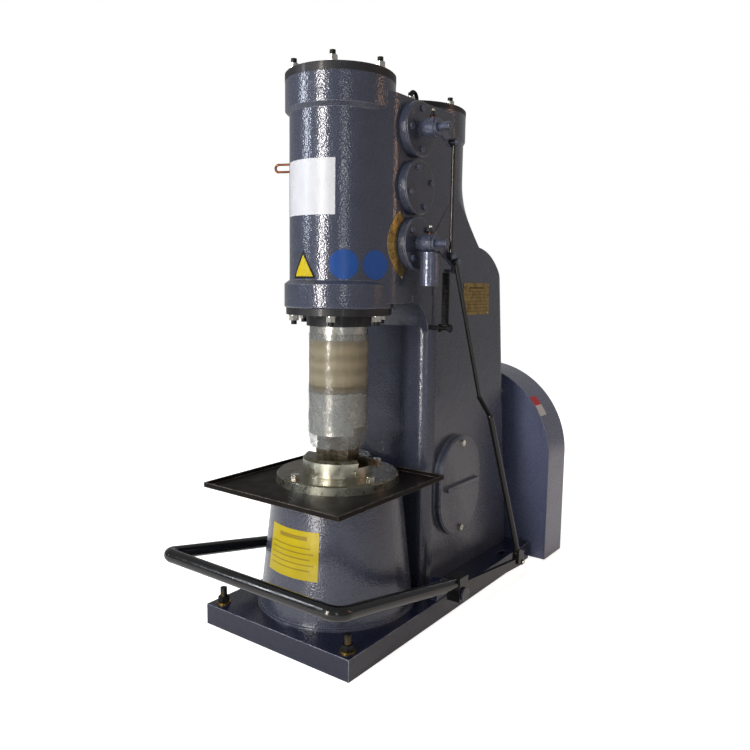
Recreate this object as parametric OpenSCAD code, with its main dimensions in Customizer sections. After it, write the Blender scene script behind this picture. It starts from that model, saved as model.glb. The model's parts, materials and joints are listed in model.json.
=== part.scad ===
// Self-contained air power hammer: ram cylinder in front, crank-driven air compressor behind it,
// rotary valves between them, worked by a foot treadle that runs round the anvil.
// Millimetres. +Z up, the anvil faces -Y, the origin is on the floor under the ram's axis.

/* [Base and anvil] */
// Width of the base plate
base_w = 660; // [640:5:720]
// Distance from the ram's axis to the front edge of the base
base_front = 345; // [330:5:380]
// Distance from the ram's axis to the rear edge of the base
base_rear = 985; // [980:5:1010]
// Thickness of the base plate
base_t = 75; // [65:1:85]
// Radius of the collar round the anvil's foot
foot_r = 294; // [288:1:300]
// Height of the collar round the anvil's foot
foot_h = 8; // [5:1:12]
// Radius of the anvil column at its foot
column_foot_r = 284; // [275:1:287]
// Radius of the anvil column at its top
column_top_r = 235; // [230:1:245]
// Height of the anvil column's top above the floor
anvil_h = 524; // [515:1:530]
// Radius of the machined ring that clamps the sow block
ring_r = 223; // [215:1:228]
// Thickness of the machined ring
ring_t = 36; // [30:1:42]
// Radius of the round sow block
sow_r = 128; // [122:1:134]
// Height of the sow block above the ring
sow_h = 62; // [55:1:70]
// Radius of the sow block's stem in the anvil
stem_r = 95; // [85:1:100]
// Depth of the sow block's stem in the anvil
stem_h = 90; // [70:1:110]
// Radius of the bolt circle in the ring
ring_bolt_pcr = 190; // [180:1:198]

/* [Dies] */
// Length of a die's working face
die_l = 145; // [130:1:150]
// Width of a die's working face
die_w = 65; // [55:1:70]
// Height of a die outside its dovetail
die_h = 42; // [36:1:50]
// Depth of the dovetail
dovetail_h = 28; // [22:1:32]
// Slope of the dovetail's sides, in degrees
dovetail_slope = 10; // [6:1:14]
// Width of the dovetail at its neck
dovetail_neck = 50; // [44:1:52]
// Width of the wedge key beside the dovetail
key_w = 14; // [10:1:18]
// Length of the wedge key
key_l = 262; // [250:1:280]

/* [Ram] */
// Radius of the ram
ram_r = 105; // [100:0.5:108]
// Radius of the piston at the ram's top
ram_piston_r = 134.95; // [130:0.05:138]
// Length of the ram
ram_l = 830; // [800:5:840]
// Height of the piston
ram_piston_h = 150; // [120:5:160]
// Radius of the lightening bore in the ram
ram_bore_r = 72; // [50:1:80]
// Depth of the lightening bore
ram_bore_h = 640; // [500:5:680]
// Depth of the anti-turn flat on the ram
ram_flat = 7; // [4:0.5:10]
// Stroke of the ram
ram_stroke = 300; // [200:5:320]
// Top of the paper wrap on the ram
paper_top = 1066; // [1050:1:1080]
// Height of the paper wrap
paper_h = 208; // [180:1:220]
// Radius of the wrap's outside
wrap_r = 107.2; // [106.8:0.1:108.5]
// Radius of the film sleeve at its lower hem
film_hem_r = 94; // [92:0.5:100]
// Distance of the film sleeve's lower hem above the sow block
film_hem_gap = 34; // [28:1:38]

/* [Frame] */
// Half width of the column at its foot
column_half_foot = 226; // [222:1:232]
// Half width of the column at its top
column_half_top = 204; // [202:0.5:208]
// Distance from the ram's axis to the column's front at its foot
throat_foot = 262; // [258:1:268]
// Distance from the ram's axis to the column's front at its top
throat_top = 277; // [270:1:285]
// Distance from the ram's axis to the column's rear at its foot
rear_foot = 982; // [975:1:984]
// Distance from the ram's axis to the line of the column's rear at its top
rear_top = 818; // [805:1:830]
// Radius of the column's upright corners
corner_r = 48; // [40:1:56]
// Radius of the shoulder above the crank room
shoulder_r = 266; // [255:1:275]
// Height of the shoulder's centre above the floor
shoulder_z = 1130; // [1110:5:1150]
// Half width of the chest between the cylinders
chest_half = 204; // [202:0.5:206]
// Underside of the chest above the floor
chest_bottom = 1175; // [1165:1:1185]
// Distance from the chest's top to the front cylinder's top
chest_drop = 42; // [34:1:52]
// Where the chest's flat side begins, behind the ram's axis
chest_flat_y = 65; // [60:1:68]
// Radius of the bend between the chest's side and the slope to the barrel
chest_bend_r = 100; // [80:1:110]
// Angle through which the chest's side bends towards the barrel, in degrees
chest_bend = 20; // [19.5:0.1:20.5]
// Radius of the fillet under the chest
arm_fillet_r = 114; // [100:1:120]

/* [Cylinders] */
// Distance between the two cylinder axes
axis_gap = 455; // [450:1:460]
// Outside radius of the front cylinder
front_r = 176; // [172:1:180]
// Radius of the front cylinder's bore
front_bore_r = 135.03; // [131:0.01:138]
// Radius of the front cylinder's upper flange
front_top_flange_r = 191; // [188:1:194]
// Radius of the front cylinder's lower flange
front_low_flange_r = 194; // [190:1:198]
// Bottom of the front cylinder above the floor
front_bottom = 1157; // [1150:1:1162]
// Height of the front cylinder
front_h = 765; // [758:1:771]
// Height of the cylinder flanges
flange_h = 96; // [85:1:105]
// Thickness of the front cylinder's cover
front_cover_t = 28; // [22:1:32]
// Outside radius of the rear cylinder
rear_r = 200; // [198:1:202]
// Radius of the compressor's bore
rear_bore_r = 150; // [146:0.5:152]
// Radius of the rear cylinder's flange
rear_flange_r = 207; // [206:0.5:210]
// Distance from the rear cylinder's top to the front cylinder's top
rear_drop = 27; // [22:1:32]
// Thickness of the rear cylinder's cover
rear_cover_t = 20; // [16:1:24]
// Radius of the stud circle in the cylinder flanges
stud_pcr = 168; // [165:0.5:172]
// Radius of the cylinder studs
stud_r = 10; // [8:0.5:11]
// Number of studs in each cylinder flange
stud_count = 6; // [4:1:8]
// Distance between the guide bush and the ram's piston when the ram is down
bush_clear = 57; // [50:1:80]
// Thickness of the gland plate under the front cylinder
gland_t = 24; // [20:1:28]
// Height of the gland's neck below its plate
gland_neck_h = 40; // [32:1:44]

/* [Crank and compressor] */
// Height of the crankshaft's axis above the floor
crank_z = 460; // [455:1:465]
// Throw of the crank
crank_throw = 110; // [100:1:112]
// Radius of the crank pin
crank_pin_r = 32; // [30:1:34]
// Radius of the crank disc
crank_disc_r = 160; // [150:1:165]
// Thickness of the crank disc
crank_disc_t = 48; // [40:1:50]
// Radius of the crankshaft
crank_r = 50; // [46:1:52]
// Length of the connecting rod between its pins
conrod_l = 930; // [920:1:935]
// Width of the connecting rod's big end
big_end_w = 80; // [70:1:84]
// Height of the compressor piston above its pin
piston_above_pin = 370; // [350:1:374]
// Height of the compressor piston below its pin
piston_below_pin = 95; // [85:1:100]
// Wall of the compressor piston
piston_wall = 14; // [12:1:18]
// Radius of the wrist pin
wrist_pin_r = 25; // [20:1:28]

/* [Drive] */
// Outside radius of the flywheel
flywheel_r = 305; // [290:1:308]
// Width of the flywheel
flywheel_w = 92; // [86:1:100]
// Number of belts
belt_count = 4; // [2:1:4]
// Spacing of the belts
belt_pitch = 20; // [19:1:21]
// Outside radius of the motor pulley
motor_pulley_r = 50; // [46:1:54]
// Distance of the motor's axis to the left of the ram's axis
motor_x = 285; // [280:1:290]
// Height of the motor's axis above the plate it stands on
motor_shaft_h = 132; // [128:1:134]
// Outside radius of the motor's fins
motor_r = 122; // [116:1:126]
// Half width of the belt guard
guard_half = 402; // [396:1:408]
// Height of the centre of the guard's arch above the floor
guard_arch_z = 470; // [460:1:480]
// Front face of the belt guard, behind the ram's axis
guard_front = 1003; // [1002:1:1012]
// Depth of the belt guard
guard_d = 187; // [180:1:200]
// Thickness of the guard's sheet
guard_t = 3; // [2:0.5:5]

/* [Valve gear] */
// Distance of the valve axes behind the ram's axis
valve_y = 160; // [155:1:165]
// Distance of the upper valve below the front cylinder's top
upper_valve_drop = 145; // [140:1:150]
// Distance of the check valve below the upper valve
check_valve_drop = 197; // [192:1:200]
// Distance of the lower valve below the check valve
lower_valve_drop = 195; // [192:1:200]
// Radius of the valve covers
valve_cover_r = 95; // [88:1:96]
// Thickness of the valve covers
valve_cover_t = 30; // [24:1:34]
// Radius of the valve spools
spool_r = 47.95; // [44:0.05:49]
// Radius of the valve shafts
valve_shaft_r = 14; // [12:0.5:15]
// Distance from the valve axis to the link rod's pin
link_arm = 89; // [80:1:95]
// Distance from the valve axis to the pull rod's pin
pull_arm = 127; // [122:1:130]
// Angle of the lever arms below the horizontal
arm_droop = 27.5; // [26:0.5:29]
// Radius of the bore for the hand lever
socket_bore_r = 16; // [12:0.5:20]
// Depth of the bore for the hand lever
socket_bore_l = 90; // [60:1:95]

/* [Treadle] */
// Half width of the treadle
treadle_half = 390; // [384:1:400]
// Radius of the treadle's bar
treadle_r = 23; // [20:0.5:24]
// Distance from the ram's axis to the treadle's front bar
treadle_front = 476; // [465:1:490]
// Height of the treadle's front bar above the floor
treadle_front_z = 290; // [280:1:300]
// Radius of the treadle's corners
treadle_corner_r = 42; // [36:1:60]
// Distance of the treadle's pivot behind the ram's axis
pivot_y = 225; // [218:1:232]
// Height of the treadle's pivot above the floor
pivot_z = 118; // [116:1:124]
// Radius of the treadle's pivot studs
pivot_r = 14; // [12:0.5:15]
// Distance from the ram's axis to the treadle's rear eye
eye_y = 758; // [745:1:765]
// Height of the treadle's rear eye above the floor
eye_z = 72; // [68:1:78]

/* [Hidden] */
$fn = 64;

// Clearance of a running fit, on the radius
run_fit = 0.06;
// Clearance between pieces that never touch
free_gap = 0.5;
// Clearance of a piece seated in a pocket
seat_gap = 0.2;
// Gap that stays between the two dies when the ram is down
die_gap = 0.3;

// Heights that follow the front cylinder
front_top = front_bottom + front_h;
chest_top = front_top - chest_drop;
rear_cyl_top = front_top - rear_drop;
upper_valve_z = front_top - upper_valve_drop;
check_valve_z = upper_valve_z - check_valve_drop;
lower_valve_z = check_valve_z - lower_valve_drop;

// Places along the ram's axis
column_foot_z = base_t + foot_h;
ring_top = anvil_h + ring_t;
sow_top = ring_top + sow_h;
strike_z = sow_top + die_h;
ram_bottom = strike_z + die_h + die_gap;
ram_top = ram_bottom + ram_l;
ram_piston_bottom = ram_top - ram_piston_h;
bush_bottom = front_bottom;
bush_top = ram_piston_bottom - bush_clear;
bush_h = bush_top - bush_bottom;
bush_r = front_bore_r + 15;
gland_bottom = front_bottom - gland_t;
gland_mouth = gland_bottom - gland_neck_h;
gland_neck_r = ram_r + 11;
film_hem_z = sow_top + film_hem_gap;
paper_bottom = paper_top - paper_h;
front_cover_top = front_top + front_cover_t;
rear_cover_top = rear_cyl_top + rear_cover_t;

// Anchor bolts of the base
anchor_edge = 40;
anchor_x = base_w / 2 - anchor_edge;
anchor_front_y = -300;
slot_right_y = 790;
slot_left_y = 610;
anchor_r = 12;
anchor_stand = 58;

// Ring bolts
ring_bolt_r = 10;
ring_bolt_turn = -13;

// Tray round the anvil
tray_half = 305;
tray_front = 372;
tray_rear = 250;
tray_t = 3;
tray_rim_h = 17;
tray_rim_t = 4;

// Compressor
pin_bottom_z = crank_z - crank_throw;
wrist_z = pin_bottom_z + conrod_l;
piston_r = rear_bore_r - run_fit;
piston_bottom = wrist_z - piston_below_pin;
piston_top = wrist_z + piston_above_pin;
big_end_r = crank_pin_r + 20;
conrod_bolt_x = big_end_r + 8;
conrod_lug = big_end_r + 20;
big_end_y0 = axis_gap - big_end_w / 2;
big_end_y1 = axis_gap + big_end_w / 2;
disc_y0 = big_end_y1 + 6;
disc_y1 = disc_y0 + crank_disc_t;
room_half = crank_throw + conrod_lug + 15;
room_y0 = 325;
room_y1 = disc_y1 + 12;
room_bottom = 150;

// Crankshaft bearings
bearing_r = crank_r + 40;
bearing_w = 62;
bearing_front_y = room_y1 + 18;
bearing_rear_y = 894;
bearing_boss_r = bearing_r + 26;
bearing_boss_end = bearing_rear_y + bearing_w + 4;
roller_r = 7.8;
roller_count = 16;
ring_wall = 12;
flywheel_y0 = guard_front + 42;
flywheel_y1 = flywheel_y0 + flywheel_w;
flywheel_shaft_r = crank_r - 8;
crank_key_w = 22;
crank_key_h = 7;

// Motor
motor_plate_t = 12;
plate_side = motor_r + 13;
motor_z = base_t + motor_plate_t + motor_shaft_h;
motor_y0 = 662;
motor_y1 = 955;
motor_core_r = motor_r - 14;
motor_shaft_r = 19;
belt_w = 13;
belt_depth = 9;
groove_depth = 11;
recess_x = -(motor_x - motor_r - 8);
recess_y0 = 574;
box_h = 62;
recess_top = motor_z + motor_core_r + box_h + 14;

// Valve gear planes
check_seat_x = 150;
check_stem_r = 9;
check_stem_end = chest_half - 8;
cover_face = chest_half + valve_cover_t;
hub_x0 = cover_face + 24;
hub_x1 = hub_x0 + 38;
hub_r = 34;
arm_x0 = hub_x1;
arm_x1 = arm_x0 + 10;
rod_x = arm_x1 + 10;
eye_half = 7;
eye_r = 14;
link_pin_r = 6;
pin_end_x = rod_x + eye_half + 3;
stub_end_x = 348;
link_dy = link_arm * cos(arm_droop);
link_dz = -link_arm * sin(arm_droop);
pull_dy = pull_arm * cos(arm_droop);
pull_dz = -pull_arm * sin(arm_droop);
socket_x = (hub_x0 + hub_x1) / 2;
socket_r = 34;
socket_top = lower_valve_z - hub_r + 4;
socket_bottom = lower_valve_z - 147;
spring_x = 270;
spring_y = valve_y + 128;
spring_r = 13;
spring_wire_r = 2.2;
spring_top = lower_valve_z - 98;
spring_bottom = lower_valve_z - 291;
spring_turns = 30;
hook_pin_r = 5;
hook_dz = spring_top + spring_wire_r + hook_pin_r + 0.3 - lower_valve_z;
anchor_r_spring = 8;
anchor_z = spring_bottom - spring_wire_r - anchor_r_spring - 0.3;

// Pull rod's bends, from the lower valve's lever to the treadle's rear eye
pull_top = [rod_x, valve_y + pull_dy, lower_valve_z + pull_dz];
pull_bend_a = [rod_x, 488, 806];
pull_bend_b = [treadle_half, 442, 744];
pull_end = [treadle_half, eye_y, eye_z];
pull_low_r = 12;
block_r = pivot_r + 20;
clamp_half = treadle_r + 4;

// Treadle
bar_y = 220;
bar_z = pivot_z + 34;
treadle_tilt = atan2(treadle_front_z - bar_z, treadle_front + bar_y);
treadle_reach = (treadle_front + bar_y) / cos(treadle_tilt);
block_x0 = base_w / 2 - 48;
block_x1 = base_w / 2 - 4;
treadle_plate_t = 14;
slot_run = 12;

// Half width and rear face of the column at a height
function column_half(z) = column_half_foot
    + (column_half_top - column_half_foot) * (z - base_t) / (chest_top - base_t);
function column_rear(z) = rear_foot + (rear_top - rear_foot) * (z - base_t) / (chest_top - base_t);

// Inspection cover on the column's side
oval_y = 481;
oval_z = 441;
oval_r = 163;
oval_rise = 41;
oval_face = column_half(oval_z - oval_r - oval_rise) + 1;
oval_t = 24;
oval_hole_r = 128;

// Brass plates
plate_y0 = 523;
plate_y1 = 737;
plate_z0 = 1123;
plate_z1 = 1251;
plate_t = 1.2;
dial_in_r = 101;
dial_out_r = 140;
dial_from = 127;
dial_to = 244;

module rod_along_x(r, x0, x1) {
    translate([x0, 0, 0]) rotate([0, 90, 0]) cylinder(r = r, h = x1 - x0);
}

module rod_along_y(r, y0, y1) {
    translate([0, y0, 0]) rotate([-90, 0, 0]) cylinder(r = r, h = y1 - y0);
}

module hex_prism(width, h) {
    cylinder(d = width / cos(30), h = h, $fn = 6);
}

// Straight round bar between two points
module bar_between(a, b, r) {
    d = b - a;
    l = norm(d);
    translate(a) rotate([0, acos(d[2] / l), atan2(d[1], d[0])]) cylinder(r = r, h = l);
}

// Hex bolt along +Z with its head on top of z = 0
module hex_bolt(r, shank, head_w, head_h) {
    translate([0, 0, -shank]) cylinder(r = r, h = shank + 0.5);
    hex_prism(head_w, head_h);
}

// Outline of a round-ended slot, with its straight part along the second axis
module slot_outline(r, rise) {
    translate([0, rise]) circle(r = r);
    translate([0, -rise]) circle(r = r);
    translate([-r + 0.3, -rise]) square([2 * r - 0.6, 2 * rise]);
}

module base_plate() {
    color("#2c3350") difference() {
        translate([-base_w / 2, -base_front, 0]) cube([base_w, base_front + base_rear, base_t]);
        for (x = [-anchor_x, anchor_x])
            translate([x, anchor_front_y, -1]) cylinder(r = anchor_r + 2, h = base_t + 2);
        for (p = [[anchor_x, slot_right_y], [-anchor_x, slot_left_y]]) translate([p[0], p[1], -1])
            linear_extrude(base_t + 2) slot_outline(anchor_r + 2, 16);
    }
}

module anvil_column() {
    color("#3d4358") difference() {
        union() {
            translate([0, 0, base_t]) cylinder(r = foot_r, h = foot_h);
            translate([0, 0, column_foot_z - 0.5])
                cylinder(r1 = column_foot_r, r2 = column_top_r, h = anvil_h - column_foot_z + 0.5);
        }
        translate([0, 0, anvil_h - stem_h]) cylinder(r = stem_r + seat_gap, h = stem_h + 3);
        for (i = [0:3]) rotate(ring_bolt_turn + i * 90)
            translate([ring_bolt_pcr, 0, anvil_h - 45]) cylinder(r = ring_bolt_r + seat_gap, h = 46);
        translate([-base_w, throat_foot - seat_gap, base_t - 1])
            rotate([-atan((throat_top - throat_foot) / (chest_top - base_t)), 0, 0])
                cube([2 * base_w, foot_r, anvil_h]);
    }
}

// Studs, nuts and washers that hold the base to its foundation
module anchor_bolts() {
    color("#222222") for (x = [-anchor_x, anchor_x])
        translate([x, anchor_front_y, 0]) {
            translate([0, 0, 4]) cylinder(r = anchor_r, h = base_t + anchor_stand - 4);
            difference() {
                union() {
                    translate([0, 0, base_t]) cylinder(r = 26, h = 5);
                    translate([0, 0, base_t + 5]) hex_prism(36, 20);
                }
                translate([0, 0, base_t - 1]) cylinder(r = anchor_r + seat_gap, h = 30);
            }
        }
}

module anvil_ring() {
    bevel = 5;
    color("#9a9680") difference() {
        rotate_extrude() polygon([[stem_r + seat_gap, anvil_h], [ring_r, anvil_h],
            [ring_r, ring_top - bevel], [ring_r - bevel, ring_top], [stem_r + seat_gap, ring_top]]);
        for (i = [0:3]) rotate(ring_bolt_turn + i * 90)
            translate([ring_bolt_pcr, 0, anvil_h - 1]) cylinder(r = ring_bolt_r + 1, h = ring_t + 2);
    }
}

// Section of a dovetail with its wide end at z = 0 and its neck at the given height
module dovetail_outline(neck, h, extra) {
    run = h * tan(dovetail_slope);
    polygon([[-neck / 2 - run, 0], [neck / 2 + run + extra, 0], [neck / 2 + extra, h], [-neck / 2, h]]);
}

// Prism along X from an outline drawn in Y and Z
module along_x(l) {
    translate([-l / 2, 0, 0]) rotate([90, 0, 90]) linear_extrude(l) children();
}

module sow_block() {
    bevel = 11;
    color("#8f8c78") difference() {
        rotate_extrude() polygon([[0, anvil_h - stem_h], [stem_r, anvil_h - stem_h],
            [stem_r, ring_top], [sow_r, ring_top], [sow_r, sow_top - bevel],
            [sow_r - bevel, sow_top], [0, sow_top]]);
        translate([0, -key_w / 2, sow_top - dovetail_h])
            along_x(2 * sow_r + 2) dovetail_outline(dovetail_neck + 2 * seat_gap, dovetail_h + 1, key_w);
    }
}

// A die standing on its dovetail, whose neck is at z = 0
module die() {
    crown = 2;
    union() {
        translate([0, -key_w / 2, -dovetail_h + seat_gap])
            along_x(die_l) dovetail_outline(dovetail_neck, dovetail_h, 0);
        translate([-die_l / 2, -die_w / 2, seat_gap]) cube([die_l, die_w, die_h - crown - seat_gap]);
        translate([-die_l / 2 + 3, -die_w / 2 + 3, 1]) cube([die_l - 6, die_w - 6, die_h - 1]);
    }
}

// The wedge key beside a die's dovetail, in the same frame as the die
module die_key() {
    run = dovetail_h * tan(dovetail_slope);
    far = dovetail_neck / 2 - key_w / 2;
    translate([8, 0, -dovetail_h + seat_gap]) along_x(key_l) polygon([
        [far + run + 2 * seat_gap, 0], [far + run + key_w, 0],
        [far + key_w, dovetail_h - 2 * seat_gap], [far + 3 * seat_gap, dovetail_h - 2 * seat_gap]]);
}

module lower_die() {
    color("#4a4844") translate([0, 0, sow_top]) die();
}

module lower_die_key() {
    color("#5c5a54") translate([0, 0, sow_top]) die_key();
}

module upper_die() {
    color("#4a4844") translate([0, 0, ram_bottom]) mirror([0, 0, 1]) die();
}

module upper_die_key() {
    color("#5c5a54") translate([0, 0, ram_bottom]) mirror([0, 0, 1]) intersection() {
        die_key();
        translate([0, 0, -60]) cylinder(r = ram_r - 2, h = 70);
    }
}

// Square scale tray that lies on the anvil column round the ring
module tray() {
    l = tray_front + tray_rear;
    color("#16181c") difference() {
        translate([-tray_half, -tray_front, anvil_h]) cube([2 * tray_half, l, tray_rim_h]);
        translate([-tray_half + tray_rim_t, -tray_front + tray_rim_t, anvil_h + tray_t])
            cube([2 * (tray_half - tray_rim_t), l - 2 * tray_rim_t, tray_rim_h]);
        translate([0, 0, anvil_h - 1]) cylinder(r = ring_r + 1, h = tray_t + 3);
    }
}

// Upright column with round corners that narrows towards its top
module column_envelope() {
    hull() for (side = [-1, 1]) {
        for (y = [throat_foot + corner_r, rear_foot - corner_r])
            translate([side * (column_half_foot - corner_r), y, base_t])
                cylinder(r = corner_r, h = 1, $fn = 32);
        for (y = [throat_top + corner_r, rear_top - corner_r])
            translate([side * (column_half_top - corner_r), y, chest_top - 1])
                cylinder(r = corner_r, h = 1, $fn = 32);
    }
}

// Side outline of the column: straight below the shoulder, round over it
module column_side() {
    centre_y = column_rear(shoulder_z) - shoulder_r;
    translate([-base_w / 2, 0, 0]) rotate([90, 0, 90]) linear_extrude(base_w) union() {
        translate([0, base_t]) square([rear_foot + corner_r, shoulder_z - base_t]);
        translate([centre_y, shoulder_z]) circle(r = shoulder_r, $fn = 96);
        translate([0, base_t]) square([centre_y + 10, shoulder_z + shoulder_r - base_t - 8]);
    }
}

// Flared skirt that carries the rear cylinder down into the shoulder
module skirt() {
    flare = 426;
    skirt_top = rear_cyl_top - 255;
    skirt_bottom = 1250;
    skirt_r = rear_r + 143;
    translate([0, axis_gap, 0]) rotate_extrude($fn = 96) difference() {
        translate([0, skirt_bottom]) square([skirt_r, skirt_top - skirt_bottom]);
        translate([rear_r + flare, skirt_top + 8]) circle(r = flare, $fn = 96);
    }
}

// Half width of the bracket under the chest
arm_half = column_half(chest_bottom) - 6;

module front_cylinder_outside() {
    rotate_extrude() polygon([[0, front_bottom], [front_low_flange_r - 4, front_bottom],
        [front_low_flange_r, front_bottom + 4], [front_low_flange_r, front_bottom + flange_h - 14],
        [front_r, front_bottom + flange_h], [front_r, front_top - flange_h - 14],
        [front_top_flange_r, front_top - flange_h], [front_top_flange_r, front_top], [0, front_top]]);
}

module rear_cylinder_outside() {
    translate([0, axis_gap, 0]) rotate_extrude() polygon([[0, shoulder_z],
        [rear_r, shoulder_z], [rear_r, rear_cyl_top - flange_h - 12],
        [rear_flange_r, rear_cyl_top - flange_h], [rear_flange_r, rear_cyl_top], [0, rear_cyl_top]]);
}

// Points of the bend between the chest's side and its slope, grown outwards by a little
function chest_bend_points(grow) = [for (i = [0:5]) let(a = -chest_bend * i / 5)
    [chest_half - chest_bend_r + (chest_bend_r + grow) * cos(a),
     chest_flat_y + (chest_bend_r + grow) * sin(a)]];

// Outline of the chest seen from above: flat sides that slope in to meet the barrel
module chest_outline(grow) {
    bend = chest_bend_points(grow);
    last = bend[len(bend) - 1];
    along = [-sin(chest_bend), -cos(chest_bend)];
    foot = last - (last * along) * along;
    right = concat([[chest_half + grow, axis_gap]], bend, [foot, [foot[0] - 60, foot[1] + 10]]);
    polygon(concat(right, [for (i = [len(right) - 1:-1:0]) [-right[i][0], right[i][1]]]));
}

// Block between the cylinders that holds the valves
module chest_outside() {
    translate([0, 0, chest_bottom]) linear_extrude(chest_top - chest_bottom) chest_outline(0);
}

// Concave fillet between the column's front and the chest's underside
module arm_fillet() {
    face = throat_top - 6;
    translate([-arm_half, 0, 0]) rotate([90, 0, 90])
        linear_extrude(2 * arm_half) difference() {
            translate([face - arm_fillet_r + 6, chest_bottom - arm_fillet_r + 6])
                square([arm_fillet_r + 20, arm_fillet_r + 20]);
            translate([face - arm_fillet_r + 2, chest_bottom - arm_fillet_r + 2])
                circle(r = arm_fillet_r, $fn = 96);
        }
}

module stud_holes(z, depth, count, r) {
    for (i = [0:count - 1]) rotate(i * 360 / count)
        translate([stud_pcr, 0, z]) cylinder(r = r, h = depth, $fn = 32);
}

// Column, valve chest and both cylinders, cast in one
module frame_casting() {
    stud_depth = 60;
    color("#474d62") difference() {
        union() {
            intersection() {
                column_envelope();
                union() {
                    column_side();
                    skirt();
                }
            }
            front_cylinder_outside();
            rear_cylinder_outside();
            chest_outside();
            arm_fillet();
            translate([0, 0, crank_z])
                rod_along_y(bearing_boss_r, column_rear(crank_z) - 60, bearing_boss_end);
            translate([0, oval_y, oval_z]) rotate([90, 0, 90])
                translate([0, 0, 190]) linear_extrude(oval_face - 190) slot_outline(oval_r, oval_rise);
        }
        translate([0, 0, bush_top]) cylinder(r = front_bore_r, h = front_top - bush_top + 1);
        translate([0, 0, front_bottom - 1]) cylinder(r = bush_r + seat_gap, h = bush_top - front_bottom + 1);
        translate([0, axis_gap, piston_bottom - 40])
            cylinder(r = rear_bore_r, h = rear_cyl_top - piston_bottom + 41);
        translate([-room_half, room_y0, room_bottom])
            cube([2 * room_half, room_y1 - room_y0, 700]);
        translate([-room_half + 30, room_y0 + 5, 840])
            cube([2 * (room_half - 30), 2 * (axis_gap - room_y0 - 5), piston_bottom - 860]);
        translate([0, 0, crank_z]) rod_along_y(crank_r + 14, room_y1 - 1, bearing_boss_end + 1);
        translate([0, 0, crank_z]) rod_along_y(bearing_r, room_y1 - 1, bearing_front_y + bearing_w);
        translate([0, 0, crank_z]) rod_along_y(bearing_r, bearing_rear_y, bearing_boss_end + 1);
        translate([0, oval_y, oval_z]) rotate([90, 0, 90]) translate([0, 0, room_half - 1])
            linear_extrude(60) translate([-26, 0]) slot_outline(oval_hole_r - 26, oval_rise);
        translate([-400, recess_y0, base_t - 1])
            cube([400 + recess_x, rear_foot - recess_y0 + corner_r, recess_top - base_t + 1]);
        for (z = [upper_valve_z, lower_valve_z]) valve_bores(z);
        translate([0, valve_y, check_valve_z]) rod_along_x(24, 112, check_seat_x + 1);
        translate([0, valve_y, check_valve_z]) rod_along_x(40, check_seat_x, chest_half + 1);
        translate([118, valve_y, check_valve_z]) rod_along_y(14, 20, axis_gap - valve_y - 80);
        stud_holes(front_top - stud_depth, stud_depth + 1, stud_count, stud_r + seat_gap);
        stud_holes(front_bottom - 1, stud_depth + 1, stud_count, stud_r + seat_gap);
        translate([0, axis_gap, 0])
            stud_holes(rear_cyl_top - stud_depth, stud_depth + 1, stud_count, stud_r + seat_gap);
    }
}

// Bore of a valve spool and its ports to both cylinders
module valve_bores(z) {
    port_x = 128;
    port_r = 15;
    translate([0, valve_y, z]) rod_along_x(spool_r + run_fit, 106, chest_half + 1);
    translate([port_x, 0, z]) rod_along_y(port_r, 36, axis_gap - 70);
}

module cylinder_cover(r, z, t, bore_r) {
    translate([0, 0, z]) difference() {
        union() {
            cylinder(r = r, h = t - 4);
            cylinder(r = r - 4, h = t);
            translate([0, 0, -16]) cylinder(r = bore_r - 0.3, h = 17);
        }
        stud_holes(-1, t + 2, stud_count, stud_r + 0.6);
    }
}

module front_cover() {
    color("#3a4058") cylinder_cover(front_top_flange_r + 0.5, front_top, front_cover_t, front_bore_r);
}

module rear_cover() {
    color("#2b2f40") translate([0, axis_gap, 0]) difference() {
        cylinder_cover(rear_flange_r + 0.5, rear_cyl_top, rear_cover_t, rear_bore_r);
        for (side = [-1, 1]) translate([0, side * 24, rear_cyl_top + 2]) cylinder(r = 7.2, h = rear_cover_t);
    }
}

// Studs in the covers and the gland, with their threads left in the casting
module cylinder_studs() {
    color("#1b1b1d") for (i = [0:stud_count - 1]) {
        rotate(i * 360 / stud_count) translate([stud_pcr, 0, 0]) {
            translate([0, 0, front_top - 58]) cylinder(r = stud_r, h = 58 + front_cover_t + 36);
            translate([0, 0, gland_bottom - 34]) cylinder(r = stud_r, h = front_bottom + 58 - gland_bottom + 34);
        }
        translate([0, axis_gap, 0]) rotate(i * 360 / stud_count)
            translate([stud_pcr, 0, rear_cyl_top - 58]) cylinder(r = stud_r, h = 58 + rear_cover_t + 34);
    }
}

module stud_nut() {
    difference() {
        union() {
            cylinder(r = 18, h = 3);
            translate([0, 0, 3]) hex_prism(30, 17);
        }
        translate([0, 0, -1]) cylinder(r = stud_r + seat_gap, h = 30);
    }
}

module cylinder_nuts() {
    color("#d9d9d4") for (i = [0:stud_count - 1]) {
        rotate(i * 360 / stud_count) translate([stud_pcr, 0, 0]) {
            translate([0, 0, front_cover_top]) stud_nut();
            translate([0, 0, gland_bottom]) mirror([0, 0, 1]) stud_nut();
        }
        translate([0, axis_gap, 0]) rotate(i * 360 / stud_count)
            translate([stud_pcr, 0, rear_cover_top]) stud_nut();
    }
}

// U-shaped lifting bail screwed into the rear cover
module lifting_eye() {
    half = 24;
    leg = 72;
    color("#18181a") translate([0, axis_gap, rear_cyl_top + 3]) {
        for (side = [-1, 1]) translate([0, side * half, 0]) cylinder(r = 7, h = leg + 2);
        translate([0, 0, leg]) rotate([90, 0, 90])
            rotate_extrude(angle = 180) translate([half, 0]) circle(r = 7.4);
    }
}

// Plate and neck that hold the guide bush up in the front cylinder
module gland_flange() {
    color("#6e6a5c") difference() {
        union() {
            translate([0, 0, gland_bottom]) cylinder(r = front_low_flange_r - 6, h = gland_t);
            translate([0, 0, gland_mouth]) cylinder(r = gland_neck_r, h = gland_neck_h + 1);
        }
        translate([0, 0, gland_mouth - 1]) cylinder(r = ram_r + 0.8, h = 100);
        stud_holes(gland_bottom - 1, gland_t + 2, stud_count, stud_r + 0.6);
    }
}

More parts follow.
